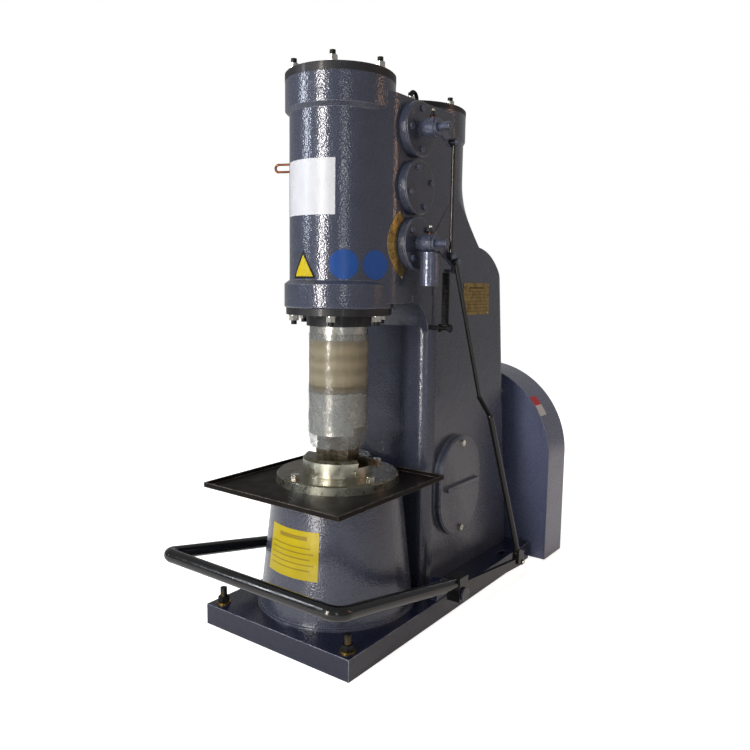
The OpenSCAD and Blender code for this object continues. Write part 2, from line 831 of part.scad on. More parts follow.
// Round bar with one flat at its rear, as the ram and the bush's bore share
module flatted_round(r, h, flat) {
    intersection() {
        cylinder(r = r, h = h);
        translate([-200, -200, -1]) cube([400, 200 + ram_r - ram_flat + flat, h + 2]);
    }
}

module ram_guide_bush() {
    color("#8c8a82") difference() {
        translate([0, 0, bush_bottom]) cylinder(r = bush_r, h = bush_h);
        translate([0, 0, bush_bottom - 1]) flatted_round(ram_r + run_fit, bush_h + 2, 0.3);
    }
}

module ram() {
    color("#b9bbb8") difference() {
        union() {
            translate([0, 0, ram_bottom]) flatted_round(ram_r, ram_l - ram_piston_h + 1, 0);
            translate([0, 0, ram_piston_bottom]) cylinder(r = ram_piston_r, h = ram_piston_h);
        }
        translate([0, 0, ram_top - ram_bore_h]) cylinder(r = ram_bore_r, h = ram_bore_h + 1);
        for (i = [0:2]) translate([0, 0, ram_top - 28 - i * 22]) difference() {
            cylinder(r = ram_piston_r + 1, h = 8.4);
            translate([0, 0, -1]) cylinder(r = ram_piston_r - 8, h = 11);
        }
        translate([0, -key_w / 2, ram_bottom + dovetail_h]) mirror([0, 0, 1])
            along_x(2 * ram_r + 2) dovetail_outline(dovetail_neck + 2 * seat_gap, dovetail_h + 1, key_w);
    }
}

module ram_piston_rings() {
    color("#6f7173") for (i = [0:2]) translate([0, 0, ram_top - 28 - i * 22]) difference() {
        cylinder(r = ram_piston_r, h = 8);
        translate([0, 0, -1]) cylinder(r = ram_piston_r - 7, h = 10);
    }
}

// Paper and tape wound round the polished part of the ram
module paper_wrap() {
    color("#b7a98a") translate([0, 0, paper_bottom]) difference() {
        cylinder(r = wrap_r, h = paper_h);
        translate([0, 0, -1]) cylinder(r = ram_r + 0.4, h = paper_h + 2);
    }
}

// Clear film sleeve that hangs from the wrap over the upper die
module film_sleeve() {
    t = 1.6;
    top = paper_bottom - 0.5;
    waist = ram_bottom - 6;
    color("#d8dcdc") rotate_extrude() polygon([[film_hem_r, film_hem_z], [film_hem_r + t, film_hem_z],
        [ram_r + 0.6 + t, waist], [ram_r + 0.6 + t, top], [ram_r + 0.6, top],
        [ram_r + 0.6, waist]]);
}

module compressor_piston() {
    inner_r = piston_r - piston_wall;
    color("#8d9092") translate([0, axis_gap, 0]) difference() {
        union() {
            difference() {
                translate([0, 0, piston_bottom]) cylinder(r = piston_r, h = piston_top - piston_bottom);
                translate([0, 0, piston_bottom - 1])
                    cylinder(r = inner_r, h = piston_top - piston_bottom - 24);
            }
            for (side = [-1, 1]) translate([0, 0, wrist_z])
                rod_along_y(wrist_pin_r + 16, side > 0 ? 40 : -inner_r - 4, side > 0 ? inner_r + 4 : -40);
        }
        translate([0, 0, wrist_z]) rod_along_y(wrist_pin_r + 0.02, -inner_r - 2, inner_r + 2);
        for (i = [0:2]) translate([0, 0, piston_top - 26 - i * 20]) difference() {
            cylinder(r = piston_r + 1, h = 8.4);
            translate([0, 0, -1]) cylinder(r = piston_r - 8, h = 11);
        }
    }
}

module compressor_rings() {
    color("#6f7173") for (i = [0:2]) translate([0, axis_gap, piston_top - 26 - i * 20]) difference() {
        cylinder(r = piston_r, h = 8);
        translate([0, 0, -1]) cylinder(r = piston_r - 7, h = 10);
    }
}

module wrist_pin() {
    reach = piston_r - piston_wall + 1;
    color("#a9abad") translate([0, axis_gap, wrist_z]) rod_along_y(wrist_pin_r, -reach, reach);
}

// Rod body with its small end and the upper half of its big end
module conrod() {
    small_end_r = wrist_pin_r + 17;
    color("#84878a") difference() {
        union() {
            translate([0, axis_gap, wrist_z]) rod_along_y(small_end_r, -34, 34);
            translate([0, axis_gap, pin_bottom_z]) rod_along_y(big_end_r, -big_end_w / 2, big_end_w / 2);
            translate([-30, axis_gap - 16, pin_bottom_z + 40]) cube([60, 32, conrod_l - 70]);
            translate([-16, axis_gap - 26, pin_bottom_z + 50]) cube([32, 52, conrod_l - 85]);
            translate([-conrod_lug, big_end_y0 + 8, pin_bottom_z])
                cube([2 * conrod_lug, big_end_w - 16, 34]);
        }
        translate([-120, big_end_y0 - 1, pin_bottom_z - 120]) cube([240, big_end_w + 2, 120]);
        translate([0, axis_gap, pin_bottom_z]) rod_along_y(crank_pin_r + 0.05, -60, 60);
        translate([0, axis_gap, wrist_z]) rod_along_y(wrist_pin_r + run_fit, -60, 60);
        for (side = [-1, 1]) translate([side * conrod_bolt_x, axis_gap, pin_bottom_z - 1])
            cylinder(r = 9.3, h = 60);
    }
}

module conrod_cap() {
    color("#84878a") difference() {
        union() {
            translate([0, axis_gap, pin_bottom_z]) rod_along_y(big_end_r, -big_end_w / 2, big_end_w / 2);
            translate([-conrod_lug, big_end_y0 + 8, pin_bottom_z - 34])
                cube([2 * conrod_lug, big_end_w - 16, 33]);
        }
        translate([-120, big_end_y0 - 1, pin_bottom_z - 1]) cube([240, big_end_w + 2, 120]);
        translate([0, axis_gap, pin_bottom_z]) rod_along_y(crank_pin_r + 0.05, -60, 60);
        for (side = [-1, 1]) translate([side * conrod_bolt_x, axis_gap, pin_bottom_z - 40])
            cylinder(r = 9.3, h = 60);
    }
}

module conrod_bolts() {
    color("#3a3a3c") for (side = [-1, 1]) translate([side * conrod_bolt_x, axis_gap, pin_bottom_z - 34]) {
        cylinder(r = 9, h = 70);
        mirror([0, 0, 1]) hex_prism(26, 12);
        translate([0, 0, 68]) hex_prism(26, 14);
    }
}

module crank_pin() {
    color("#a9abad") translate([0, 0, pin_bottom_z])
        rod_along_y(crank_pin_r, big_end_y0 - 4, disc_y0 - free_gap);
}

module crankshaft() {
    color("#7f8285") translate([0, 0, crank_z]) difference() {
        union() {
            rod_along_y(crank_disc_r, disc_y0, disc_y1);
            rod_along_y(crank_r + 8, disc_y1 - 1, bearing_front_y - 3);
            rod_along_y(crank_r, disc_y1, bearing_rear_y + bearing_w);
            rod_along_y(flywheel_shaft_r, bearing_rear_y, flywheel_y1 + 6);
            translate([-crank_key_w / 2, flywheel_y0 + 4, 0])
                cube([crank_key_w, flywheel_w - 8, flywheel_shaft_r + crank_key_h]);
        }
        translate([0, flywheel_y1 - 14, 0]) rod_along_y(8, 0, 21);
    }
}

module bearing_inner_rings() {
    color("#c2c4c6") for (y = [bearing_front_y, bearing_rear_y]) translate([0, 0, crank_z]) difference() {
        rod_along_y(crank_r + ring_wall, y, y + bearing_w - 2);
        rod_along_y(crank_r + 0.02, y - 1, y + bearing_w);
    }
}

// Outer rings and rollers of the two crankshaft bearings
module crank_bearings() {
    pitch_r = bearing_r - ring_wall - roller_r - 0.02;
    color("#c2c4c6") for (y = [bearing_front_y, bearing_rear_y]) translate([0, 0, crank_z]) {
        difference() {
            rod_along_y(bearing_r - 0.02, y, y + bearing_w - 2);
            rod_along_y(bearing_r - ring_wall, y - 1, y + bearing_w);
        }
        for (i = [0:roller_count - 1]) rotate([0, i * 360 / roller_count, 0])
            translate([pitch_r, 0, 0]) rod_along_y(roller_r, y + 6, y + bearing_w - 8);
    }
}

module bearing_cover() {
    color("#3a4058") translate([0, 0, crank_z]) difference() {
        rod_along_y(bearing_boss_r, bearing_boss_end, bearing_boss_end + 12);
        rod_along_y(flywheel_shaft_r + 1, bearing_boss_end - 1, bearing_boss_end + 13);
    }
}

// Section of a belt pulley's rim, with one groove for each belt
module grooved_rim(r, w, depth) {
    difference() {
        translate([r - depth, 0]) square([depth, w]);
        for (i = [0:belt_count - 1])
            translate([r, w / 2 + (i - (belt_count - 1) / 2) * belt_pitch])
                polygon([[1, -belt_w / 2 - 1], [1, belt_w / 2 + 1],
                    [-groove_depth, belt_w / 2 - 1.5], [-groove_depth, -belt_w / 2 + 1.5]]);
    }
}

module flywheel() {
    rim = 46;
    hub = 84;
    color("#34394b") translate([0, flywheel_y0, crank_z]) rotate([-90, 0, 0]) difference() {
        union() {
            rotate_extrude($fn = 128) grooved_rim(flywheel_r, flywheel_w, rim);
            cylinder(r = hub, h = flywheel_w);
            translate([0, 0, 30]) cylinder(r = flywheel_r - rim + 1, h = 24);
        }
        translate([0, 0, -1]) cylinder(r = flywheel_shaft_r + 0.03, h = flywheel_w + 2);
        translate([-crank_key_w / 2 - seat_gap, -flywheel_shaft_r - crank_key_h - seat_gap, -1])
            cube([crank_key_w + 2 * seat_gap, flywheel_shaft_r, flywheel_w + 2]);
        for (i = [0:5]) rotate(i * 60) translate([(hub + flywheel_r - rim) / 2, 0, 20]) cylinder(r = 44, h = 50);
    }
}

module v_belts() {
    run = [-motor_x, motor_z - crank_z];
    color("#1a1a1a") for (i = [0:belt_count - 1])
        translate([0, flywheel_y0 + flywheel_w / 2 + (i - (belt_count - 1) / 2) * belt_pitch + (belt_w - 3) / 2, crank_z])
            rotate([90, 0, 0]) linear_extrude(belt_w - 3) difference() {
                hull() {
                    circle(r = flywheel_r - 1, $fn = 96);
                    translate(run) circle(r = motor_pulley_r - 1, $fn = 48);
                }
                hull() {
                    circle(r = flywheel_r - belt_depth, $fn = 96);
                    translate(run) circle(r = motor_pulley_r - belt_depth, $fn = 48);
                }
            }
}

// Outline of the guard: upright sides under a round arch
module guard_outline(inset) {
    r = guard_half - inset;
    translate([0, guard_arch_z]) circle(r = r, $fn = 128);
    translate([-r + 0.4, 3 + inset]) square([2 * r - 0.8, guard_arch_z - 3 - inset]);
}

// Hood over the belts
module belt_guard() {
    color("#3c4256") difference() {
        translate([0, guard_front + guard_d, 0]) rotate([90, 0, 0]) linear_extrude(guard_d) guard_outline(0);
        translate([0, guard_front + guard_d - guard_t, 0]) rotate([90, 0, 0])
            linear_extrude(guard_d - 2 * guard_t) guard_outline(guard_t);
        translate([0, 0, crank_z]) rod_along_y(flywheel_shaft_r + 20, guard_front - 1, guard_front + 20);
        translate([-motor_x, 0, motor_z]) rod_along_y(motor_shaft_r + 15, guard_front - 1, guard_front + 20);
    }
}

// Finned motor frame with its feet and terminal box
module motor_body() {
    fin_count = 36;
    foot_w = 216;
    box_w = 90;
    color("#4d566b") translate([-motor_x, 0, motor_z]) difference() {
        union() {
            rod_along_y(motor_core_r, motor_y0, motor_y1);
            for (i = [0:fin_count - 1]) rotate([0, i * 360 / fin_count, 0])
                translate([motor_core_r - 2, motor_y0 + 14, -1.5])
                    cube([motor_r - motor_core_r + 2, motor_y1 - motor_y0 - 28, 3]);
            rod_along_y(motor_r - 4, motor_y0 - 16, motor_y0 + 6);
            rod_along_y(motor_r - 4, motor_y1 - 6, motor_y1 + 14);
            translate([-foot_w / 2, motor_y0 + 30, -motor_shaft_h]) cube([foot_w, motor_y1 - motor_y0 - 60, 14]);
            for (side = [-1, 1]) translate([side * 70 - 10, motor_y0 + 30, -motor_shaft_h])
                cube([20, motor_y1 - motor_y0 - 60, 60]);
            translate([-box_w / 2, motor_y0 + 90, motor_core_r - 6])
                cube([box_w, box_w, box_h]);
        }
        rod_along_y(motor_core_r - 12, motor_y0, motor_y1);
        rod_along_y(motor_shaft_r + run_fit, motor_y0 - 30, motor_y1 + 30);
    }
}

module motor_fan_cover() {
    color("#4d566b") translate([-motor_x, 0, motor_z]) difference() {
        rod_along_y(motor_r - 2, recess_y0 + 10, motor_y0 - 16.2);
        rod_along_y(motor_r - 4, recess_y0 + 12, motor_y0 - 15);
        for (ring = [0:3], i = [0:11]) rotate([0, i * 30 + ring * 9, 0])
            translate([26 + ring * 22, 0, 0]) rod_along_y(5, recess_y0 + 9, recess_y0 + 13);
    }
}

// Rotor, shaft and cooling fan of the motor
module motor_rotor() {
    color("#9a9da0") translate([-motor_x, 0, motor_z]) union() {
        rod_along_y(motor_shaft_r, recess_y0 + 24, flywheel_y1 + 2);
        rod_along_y(motor_core_r - 16, motor_y0 + 30, motor_y1 - 30);
        rod_along_y(34, recess_y0 + 24, recess_y0 + 52);
        for (i = [0:7]) rotate([0, i * 45, 0])
            translate([20, recess_y0 + 26, -2]) cube([motor_r - 34, 24, 4]);
    }
}

module motor_pulley() {
    color("#7c7f83") translate([-motor_x, flywheel_y0, motor_z]) rotate([-90, 0, 0])
        rotate_extrude($fn = 96) difference() {
            union() {
                grooved_rim(motor_pulley_r, flywheel_w, 24);
                translate([motor_shaft_r + 0.03, 0]) square([motor_pulley_r - 24 - motor_shaft_r, flywheel_w]);
            }
        }
}

module motor_plate() {
    color("#30354a") translate([-motor_x - plate_side, motor_y0 + 10, base_t])
        cube([motor_x + plate_side + recess_x - 6, motor_y1 - motor_y0 - 20, motor_plate_t]);
}

// Thick cover over the crank room's hand hole, with a grip rib across it
module inspection_cover() {
    color("#40465a") translate([0, oval_y, oval_z]) rotate([90, 0, 90]) difference() {
        union() {
            translate([0, 0, oval_face + 0.01])
                linear_extrude(oval_t - 4) slot_outline(oval_r - 1, oval_rise);
            translate([0, 0, oval_face + 0.01])
                linear_extrude(oval_t - 0.01) slot_outline(oval_r - 7, oval_rise);
            translate([-118, -5, oval_face + oval_t - 1]) cube([246, 18, 14]);
        }
        for (side = [-1, 1]) translate([0, side * (oval_r + oval_rise - 30), oval_face - 1])
            cylinder(r = 8.6, h = oval_t + 2);
    }
}

// Bolts of the anvil ring, the valve covers and the inspection cover, and the four
// distance pieces that stand on the column's rear and carry the belt guard
module hex_bolts() {
    screw_r = 6;
    stand_r = 11;
    slope = (rear_foot - rear_top) / (chest_top - base_t);
    color("#b8b9b6") for (z = [200, 760], x = [-120, 150]) translate([x, 0, z])
        rod_along_y(stand_r, column_rear(z) + stand_r * slope + 0.05, guard_front - 0.01);
    color("#d0d0cc") {
        for (i = [0:3]) rotate(ring_bolt_turn + i * 90) translate([ring_bolt_pcr, 0, ring_top])
            hex_bolt(ring_bolt_r, ring_t + 40, 30, 16);
        for (side = [-1, 1]) translate([oval_face + oval_t, oval_y, oval_z + side * (oval_r + oval_rise - 30)])
            rotate([0, 90, 0]) hex_bolt(8, oval_t - 0.5, 24, 10);
    }
    color("#2e3448") for (v = [[upper_valve_z, 0], [check_valve_z, 18], [lower_valve_z, 48]], i = [0:3])
        translate([cover_face, valve_y, v[0]]) rotate([v[1] + i * 90, 0, 0]) translate([0, 68, 0])
            rotate([0, 90, 0]) hex_bolt(screw_r, valve_cover_t - 0.5, 19, 8);
}

// Round cover seated on the chest, with clearance holes for its four screws
module valve_cover(z, turn, bored) {
    translate([0, valve_y, z]) difference() {
        union() {
            rod_along_x(valve_cover_r, chest_half, cover_face - 4);
            rod_along_x(valve_cover_r - 4, chest_half, cover_face);
            if (bored) rod_along_x(26, cover_face - 1, hub_x0 - 0.4);
        }
        if (bored) rod_along_x(valve_shaft_r + run_fit, chest_half - 1, hub_x0 + 1);
        for (i = [0:3]) rotate([turn + i * 90, 0, 0]) translate([0, 68, 0])
            rod_along_x(6.5, chest_half - 1, cover_face + 1);
    }
}

module upper_valve_cover() {
    color("#464c66") valve_cover(upper_valve_z, 0, true);
}

module check_valve_cover() {
    color("#464c66") difference() {
        union() {
            valve_cover(check_valve_z, 18, false);
            translate([0, valve_y, check_valve_z]) rod_along_x(20, chest_half - 32, chest_half + 1);
        }
        translate([0, valve_y, check_valve_z])
            rod_along_x(check_stem_r + run_fit, chest_half - 33, chest_half - 1);
    }
}

module lower_valve_cover() {
    color("#464c66") valve_cover(lower_valve_z, 48, true);
}

// Rotary spool with a port across it, and the shaft that turns it
module valve_spool(z) {
    spool_x0 = 108;
    spool_x1 = chest_half - 2;
    translate([0, valve_y, z]) difference() {
        union() {
            rod_along_x(spool_r, spool_x0, spool_x1);
            rod_along_x(valve_shaft_r, spool_x1 - 1, stub_end_x);
        }
        translate([128, 0, 0]) rotate([35, 0, 0]) rod_along_y(13, -60, 60);
    }
}

module upper_valve() {
    color("#b4b6b8") valve_spool(upper_valve_z);
}

module lower_valve() {
    color("#b4b6b8") valve_spool(lower_valve_z);
}

// Check valve disc and stem, closed by its own spring against the seat
module check_valve() {
    color("#a8aaac") translate([0, valve_y, check_valve_z]) {
        rod_along_x(34, check_seat_x + 0.3, check_seat_x + 8);
        rod_along_x(check_stem_r, check_seat_x + 7, check_stem_end);
    }
}

// Lever on a valve shaft: hub, arm and the pins that stand on it
module valve_lever(z, with_pull) {
    tip = with_pull ? pull_arm : link_arm;
    translate([0, valve_y, z]) difference() {
        union() {
            rod_along_x(hub_r, hub_x0, hub_x1 + 0.5);
            rod_along_x(hub_r - 6, hub_x1, arm_x1);
            rotate([-arm_droop, 0, 0]) translate([arm_x0, 0, -14]) cube([arm_x1 - arm_x0, tip, 28]);
            rotate([-arm_droop, 0, 0]) translate([0, tip, 0]) rod_along_x(16, arm_x0, arm_x1);
            for (reach = with_pull ? [link_arm, pull_arm] : [link_arm])
                rotate([-arm_droop, 0, 0]) translate([0, reach, 0]) {
                    rod_along_x(link_pin_r, arm_x1 - 1, pin_end_x + 10);
                    translate([pin_end_x - 2, 0, 0]) rotate([0, 90, 0]) hex_prism(18, 8);
                }
            if (with_pull) translate([0, spring_y - valve_y, 0]) {
                translate([arm_x0, -12, hook_dz]) cube([arm_x1 - arm_x0, 24, -hook_dz - 48]);
                translate([0, 0, hook_dz]) rod_along_x(12, arm_x0, arm_x1);
                translate([0, 0, hook_dz]) rod_along_x(hook_pin_r, spring_x - 8, arm_x0 + 1);
            }
        }
        rod_along_x(valve_shaft_r + 0.03, hub_x0 - 1, arm_x1 + 1);
    }
}

module upper_lever() {
    color("#23252e") valve_lever(upper_valve_z, false);
}

module lower_lever() {
    color("#23252e") valve_lever(lower_valve_z, true);
}

// Socket under the lower lever's hub that takes a hand lever
module handle_socket() {
    color("#4a4f60") difference() {
        translate([socket_x, valve_y, socket_bottom]) cylinder(r = socket_r, h = socket_top - socket_bottom);
        translate([socket_x, valve_y, socket_bottom - 1]) cylinder(r = socket_bore_r, h = socket_bore_l + 1);
        translate([0, valve_y, lower_valve_z]) rod_along_x(hub_r + 0.2, hub_x0 - 20, hub_x1 + 30);
    }
}

module link_rod() {
    low = [rod_x, valve_y + link_dy, lower_valve_z + link_dz];
    high = [rod_x, valve_y + link_dy, upper_valve_z + link_dz];
    color("#1d1f26") {
        difference() {
            union() {
                translate(low) rod_along_x(eye_r, -eye_half, eye_half);
                translate(high) rod_along_x(eye_r, -eye_half, eye_half);
                bar_between(low, high, 7);
            }
            translate(low) rod_along_x(link_pin_r + run_fit, -20, 20);
            translate(high) rod_along_x(link_pin_r + 0.3, -20, 20);
        }
    }
}

// Pull rod with its two bends and the fork at its lower end
module pull_rod() {
    fork_gap = treadle_plate_t / 2 + 1;
    fork_top = pull_end + [0, -24, 50];
    color("#1a1b1f") {
        difference() {
            union() {
                translate(pull_top) rod_along_x(eye_r, -eye_half, eye_half);
                bar_between(pull_top, pull_bend_a, 8);
                translate(pull_bend_a) sphere(r = 10);
                bar_between(pull_bend_a, pull_bend_b, 9.5);
                translate(pull_bend_b) sphere(r = pull_low_r + 1);
                bar_between(pull_bend_b, fork_top, pull_low_r);
                translate(fork_top + [-fork_gap - 7, -14, -4]) cube([2 * fork_gap + 14, 28, 14]);
                for (side = [-1, 1]) {
                    translate(pull_end + [side > 0 ? fork_gap : -fork_gap - 7, -38, -2]) cube([7, 50, 52]);
                    translate(pull_end) rod_along_x(15, side > 0 ? fork_gap : -fork_gap - 7, side > 0 ? fork_gap + 7 : -fork_gap);
                }
                translate(pull_end) rod_along_x(8, -fork_gap - 10, fork_gap + 10);
            }
            translate(pull_top) rod_along_x(link_pin_r + run_fit, -20, 20);
        }
    }
}

spring_steps = spring_turns * 8;
spring_sides = 6;

// Ring of the spring's wire at one step
function wire_ring(i) = [for (k = [0:spring_sides - 1])
    let (t = i / spring_steps,
        turn = t * 360 * spring_turns,
        a = k * 360 / spring_sides,
        out = spring_r + spring_wire_r * cos(a))
    [spring_x + out * cos(turn), spring_y + out * sin(turn),
        spring_bottom + (spring_top - spring_bottom) * t + spring_wire_r * sin(a)]];

wire_points = [for (i = [0:spring_steps]) each wire_ring(i)];

function wire_faces() = concat(
    [[for (k = [0:spring_sides - 1]) k]],
    [[for (k = [0:spring_sides - 1]) spring_steps * spring_sides + spring_sides - 1 - k]],
    [for (i = [0:spring_steps - 1], k = [0:spring_sides - 1])
        let (a = i * spring_sides + k, b = i * spring_sides + (k + 1) % spring_sides)
        [a, a + spring_sides, b]],
    [for (i = [0:spring_steps - 1], k = [0:spring_sides - 1])
        let (a = i * spring_sides + (k + 1) % spring_sides, b = i * spring_sides + k)
        [a, b + spring_sides, a + spring_sides]]);

spring_gap = (spring_top - spring_bottom) / spring_turns - 2 * spring_wire_r;
echo(spring_least_gap = spring_gap);

module return_spring() {
    color("#2a2a2c") polyhedron(points = wire_points, faces = wire_faces());
}

// Stud on the column's side that holds the spring's lower end
module spring_anchor() {
    color("#26272b") translate([0, spring_y, anchor_z]) {
        nut_clear = spring_r + spring_wire_r + 1;
        rod_along_x(anchor_r_spring, arm_half + 0.3, spring_x + nut_clear + 10);
        translate([spring_x - nut_clear - 10, 0, 0]) rotate([0, 90, 0]) hex_prism(26, 10);
        translate([spring_x + nut_clear, 0, 0]) rotate([0, 90, 0]) hex_prism(26, 10);
    }
}

// Round bar that goes round the anvil, with its clamp blocks and the rear lever
module treadle() {
    inner = treadle_half - treadle_corner_r;
    back = 52;
    block_w = 2 * clamp_half;
    color("#17181a") difference() {
        union() {
            translate([0, bar_y, bar_z]) rotate([-treadle_tilt, 0, 0]) {
                for (side = [-1, 1]) {
                    translate([side * treadle_half, 0, 0])
                        rod_along_y(treadle_r, -treadle_reach + treadle_corner_r - 3, back);
                    translate([side * inner, -treadle_reach + treadle_corner_r, 0])
                        rotate(side > 0 ? 270 : 180) rotate_extrude(angle = 90)
                            translate([treadle_corner_r, 0]) circle(r = treadle_r + 0.5);
                }
                translate([0, -treadle_reach, 0]) rod_along_x(treadle_r, -inner - 3, inner + 3);
            }
            for (side = [-1, 1]) translate([side * treadle_half - block_w / 2, pivot_y - 30, pivot_z - 26])
                cube([block_w, 60, bar_z - pivot_z + 26 + treadle_r + 8]);
            translate([treadle_half - treadle_plate_t / 2, 0, 0]) rotate([90, 0, 90])
                linear_extrude(treadle_plate_t) polygon([[pivot_y, pivot_z + 30], [pivot_y, pivot_z - 26],
                    [eye_y - 4, eye_z - 18], [eye_y + slot_run + 20, eye_z - 18],
                    [eye_y + slot_run + 20, eye_z + 18], [eye_y - 30, eye_z + 20]]);
        }
        for (side = [-1, 1]) translate([side * treadle_half, pivot_y, pivot_z])
            rod_along_x(pivot_r + run_fit, -40, 40);
        translate([treadle_half - 20, eye_y, eye_z]) {
            rod_along_x(10, 0, 40);
            translate([0, slot_run, 0]) rod_along_x(10, 0, 40);
            translate([0, 0, -9.9]) cube([40, slot_run, 19.8]);
        }
    }
}

// Bearing blocks on the base and the studs on which the treadle turns
module treadle_pivots() {
    color("#2f3650") for (side = [-1, 1]) mirror([side > 0 ? 0 : 1, 0, 0]) {
        translate([block_x0, pivot_y - block_r, base_t])
            cube([block_x1 - block_x0, 2 * block_r, pivot_z - base_t]);
        translate([0, pivot_y, pivot_z]) rod_along_x(block_r + 0.2, block_x0, block_x1);
        translate([0, pivot_y, pivot_z]) rod_along_x(pivot_r, block_x1 - 1, treadle_half + clamp_half + 4);
        translate([0, pivot_y, pivot_z])
            rod_along_x(24, treadle_half + clamp_half + 1, treadle_half + clamp_half + 10);
    }
}

// Data plate on the column's side and the arc scale round the lower valve's cover
module brass_plates() {
    lean = atan((column_half_foot - column_half_top) / (chest_top - base_t));
    color("#b08a3c") {
        translate([column_half(plate_z0) + 0.2, plate_y0, plate_z0]) rotate([0, -lean, 0])
            cube([plate_t, plate_y1 - plate_y0, plate_z1 - plate_z0]);
        intersection() {
            translate([chest_half - 40, valve_y, lower_valve_z]) rotate([90, 0, 90])
                rotate(dial_from) rotate_extrude(angle = dial_to - dial_from)
                    translate([dial_in_r, 0]) square([dial_out_r - dial_in_r, 60]);
            translate([0, 0, lower_valve_z - dial_out_r]) linear_extrude(2 * dial_out_r) difference() {
                chest_outline(0.1 + plate_t);
                chest_outline(0.1);
            }
        }
    }
}

// Copper oil pipe that leaves the slope beside the front cylinder and turns back into it
module oil_pipe() {
    turn_r = 13;
    reach = 70;
    pipe_along = 32;
    slope_r = (chest_half - chest_bend_r) * cos(chest_bend) + chest_bend_r
        - chest_flat_y * sin(chest_bend);
    color("#b4643c") rotate(chest_bend) translate([-slope_r - 0.3, pipe_along, 1653]) {
        for (side = [-1, 1]) {
            translate([0, 0, side * turn_r]) rod_along_x(4, -reach - 1, 0);
            translate([0, 0, side * turn_r]) rotate([0, -90, 0]) hex_prism(15, 9);
        }
        translate([-reach, 0, 0]) rotate([90, 0, 0]) rotate(90)
            rotate_extrude(angle = 180) translate([turn_r, 0]) circle(r = 4.3);
    }
}

base_plate();
anvil_column();
anchor_bolts();
anvil_ring();
sow_block();
lower_die();
lower_die_key();
tray();
frame_casting();
front_cover();
rear_cover();
cylinder_studs();
cylinder_nuts();
lifting_eye();
gland_flange();
ram_guide_bush();
ram();
ram_piston_rings();
upper_die();
upper_die_key();
paper_wrap();
film_sleeve();
compressor_piston();
compressor_rings();
wrist_pin();
conrod();
conrod_cap();
conrod_bolts();
crank_pin();
crankshaft();
bearing_inner_rings();
crank_bearings();
bearing_cover();
flywheel();
v_belts();
belt_guard();
motor_body();
motor_fan_cover();
motor_rotor();
motor_pulley();
motor_plate();
inspection_cover();
hex_bolts();
upper_valve_cover();
check_valve_cover();
lower_valve_cover();
upper_valve();
lower_valve();
check_valve();
upper_lever();
lower_lever();
handle_socket();
link_rod();
pull_rod();
return_spring();
spring_anchor();
treadle();
treadle_pivots();
brass_plates();
oil_pipe();
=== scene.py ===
"""Looks of a self-contained air power hammer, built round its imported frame."""

import json
import logging
import math
from dataclasses import dataclass, field
from enum import Enum
from typing import Any

import bmesh
import bpy
from mathutils import Matrix, Vector, noise


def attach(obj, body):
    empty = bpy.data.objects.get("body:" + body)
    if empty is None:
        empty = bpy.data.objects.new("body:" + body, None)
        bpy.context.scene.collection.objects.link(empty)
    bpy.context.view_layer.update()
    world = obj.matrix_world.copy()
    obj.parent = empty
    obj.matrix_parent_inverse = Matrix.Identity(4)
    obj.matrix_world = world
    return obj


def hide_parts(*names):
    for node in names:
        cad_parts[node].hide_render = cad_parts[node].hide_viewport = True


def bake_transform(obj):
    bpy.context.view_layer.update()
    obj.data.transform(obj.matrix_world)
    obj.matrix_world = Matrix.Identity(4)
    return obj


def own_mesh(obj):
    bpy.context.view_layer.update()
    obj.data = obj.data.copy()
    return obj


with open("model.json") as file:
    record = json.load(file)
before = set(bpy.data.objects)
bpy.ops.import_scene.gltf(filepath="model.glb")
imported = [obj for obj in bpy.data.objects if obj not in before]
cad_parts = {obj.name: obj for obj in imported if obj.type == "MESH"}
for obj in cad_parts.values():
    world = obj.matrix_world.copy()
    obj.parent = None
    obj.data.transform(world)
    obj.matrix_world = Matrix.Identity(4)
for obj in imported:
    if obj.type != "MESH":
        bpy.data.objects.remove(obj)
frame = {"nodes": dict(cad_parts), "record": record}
LOG = logging.getLogger("power_hammer")
MM = 0.001
MERGE_GAP = 1e-5
SHARP_FROM = math.radians(35)
EVEN_TRIANGLE = 0.866
# Sockets of a colour mix node, whose names its other kinds share
FACTOR, COLOUR_A, COLOUR_B, MIXED = 0, 6, 7, 2
# A pattern covers only part of its range and a bump's strength takes some more off. The enamel's
# depths are real ones, multiplied by these to come out as written, and the other finishes' depths
# are what the bump is given
WAVE_GAIN, DENT_GAIN = 6, 4

Tree = bpy.types.NodeTree
Node = bpy.types.Node
Shape = bmesh.types.BMesh
Piece = bpy.types.Object
Span = tuple[float, float]


class Slot(Enum):
    """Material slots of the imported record; the solids of a slot share their finish."""

    ENAMEL = "cast_enamel"
    BASE = "base_enamel"
    GUARD = "guard_enamel"
    BLACK_PAINT = "black_paint"
    TRAY = "tray_paint"
    MACHINED = "machined_steel"
    DIE = "die_steel"
    GROUND = "ground_steel"
    ZINC = "zinc"
    BLACK_STEEL = "black_steel"
    IRON = "iron"
    BRASS = "brass"
    COPPER = "copper"
    RUBBER = "belt_rubber"
    TAPE = "paper_tape"
    FILM = "clear_film"


class Body(Enum):
    """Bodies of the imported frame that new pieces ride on."""

    FRAME = "frame"
    RAM = "ram_assembly"
    UPPER_VALVE = "upper_valve_gear"
    LOWER_VALVE = "lower_valve_gear"
    PULL = "pull"


def linear(code: str) -> tuple[float, float, float, float]:
    """Turns an sRGB hex colour to linear light.

    Args:
        code: Six hex digits, with or without a leading mark.

    Returns:
        The colour as red, green, blue and an alpha of 1.
    """
    digits = code.lstrip("#")
    parts = [int(digits[i:i + 2], 16) / 255 for i in (0, 2, 4)]
    done = [p / 12.92 if p <= 0.04045 else ((p + 0.055) / 1.055) ** 2.4 for p in parts]
    return (done[0], done[1], done[2], 1.0)


def per_mm(size_mm: float) -> float:
    """Gives the texture scale whose features are about that many millimetres wide."""
    return 1000.0 / size_mm


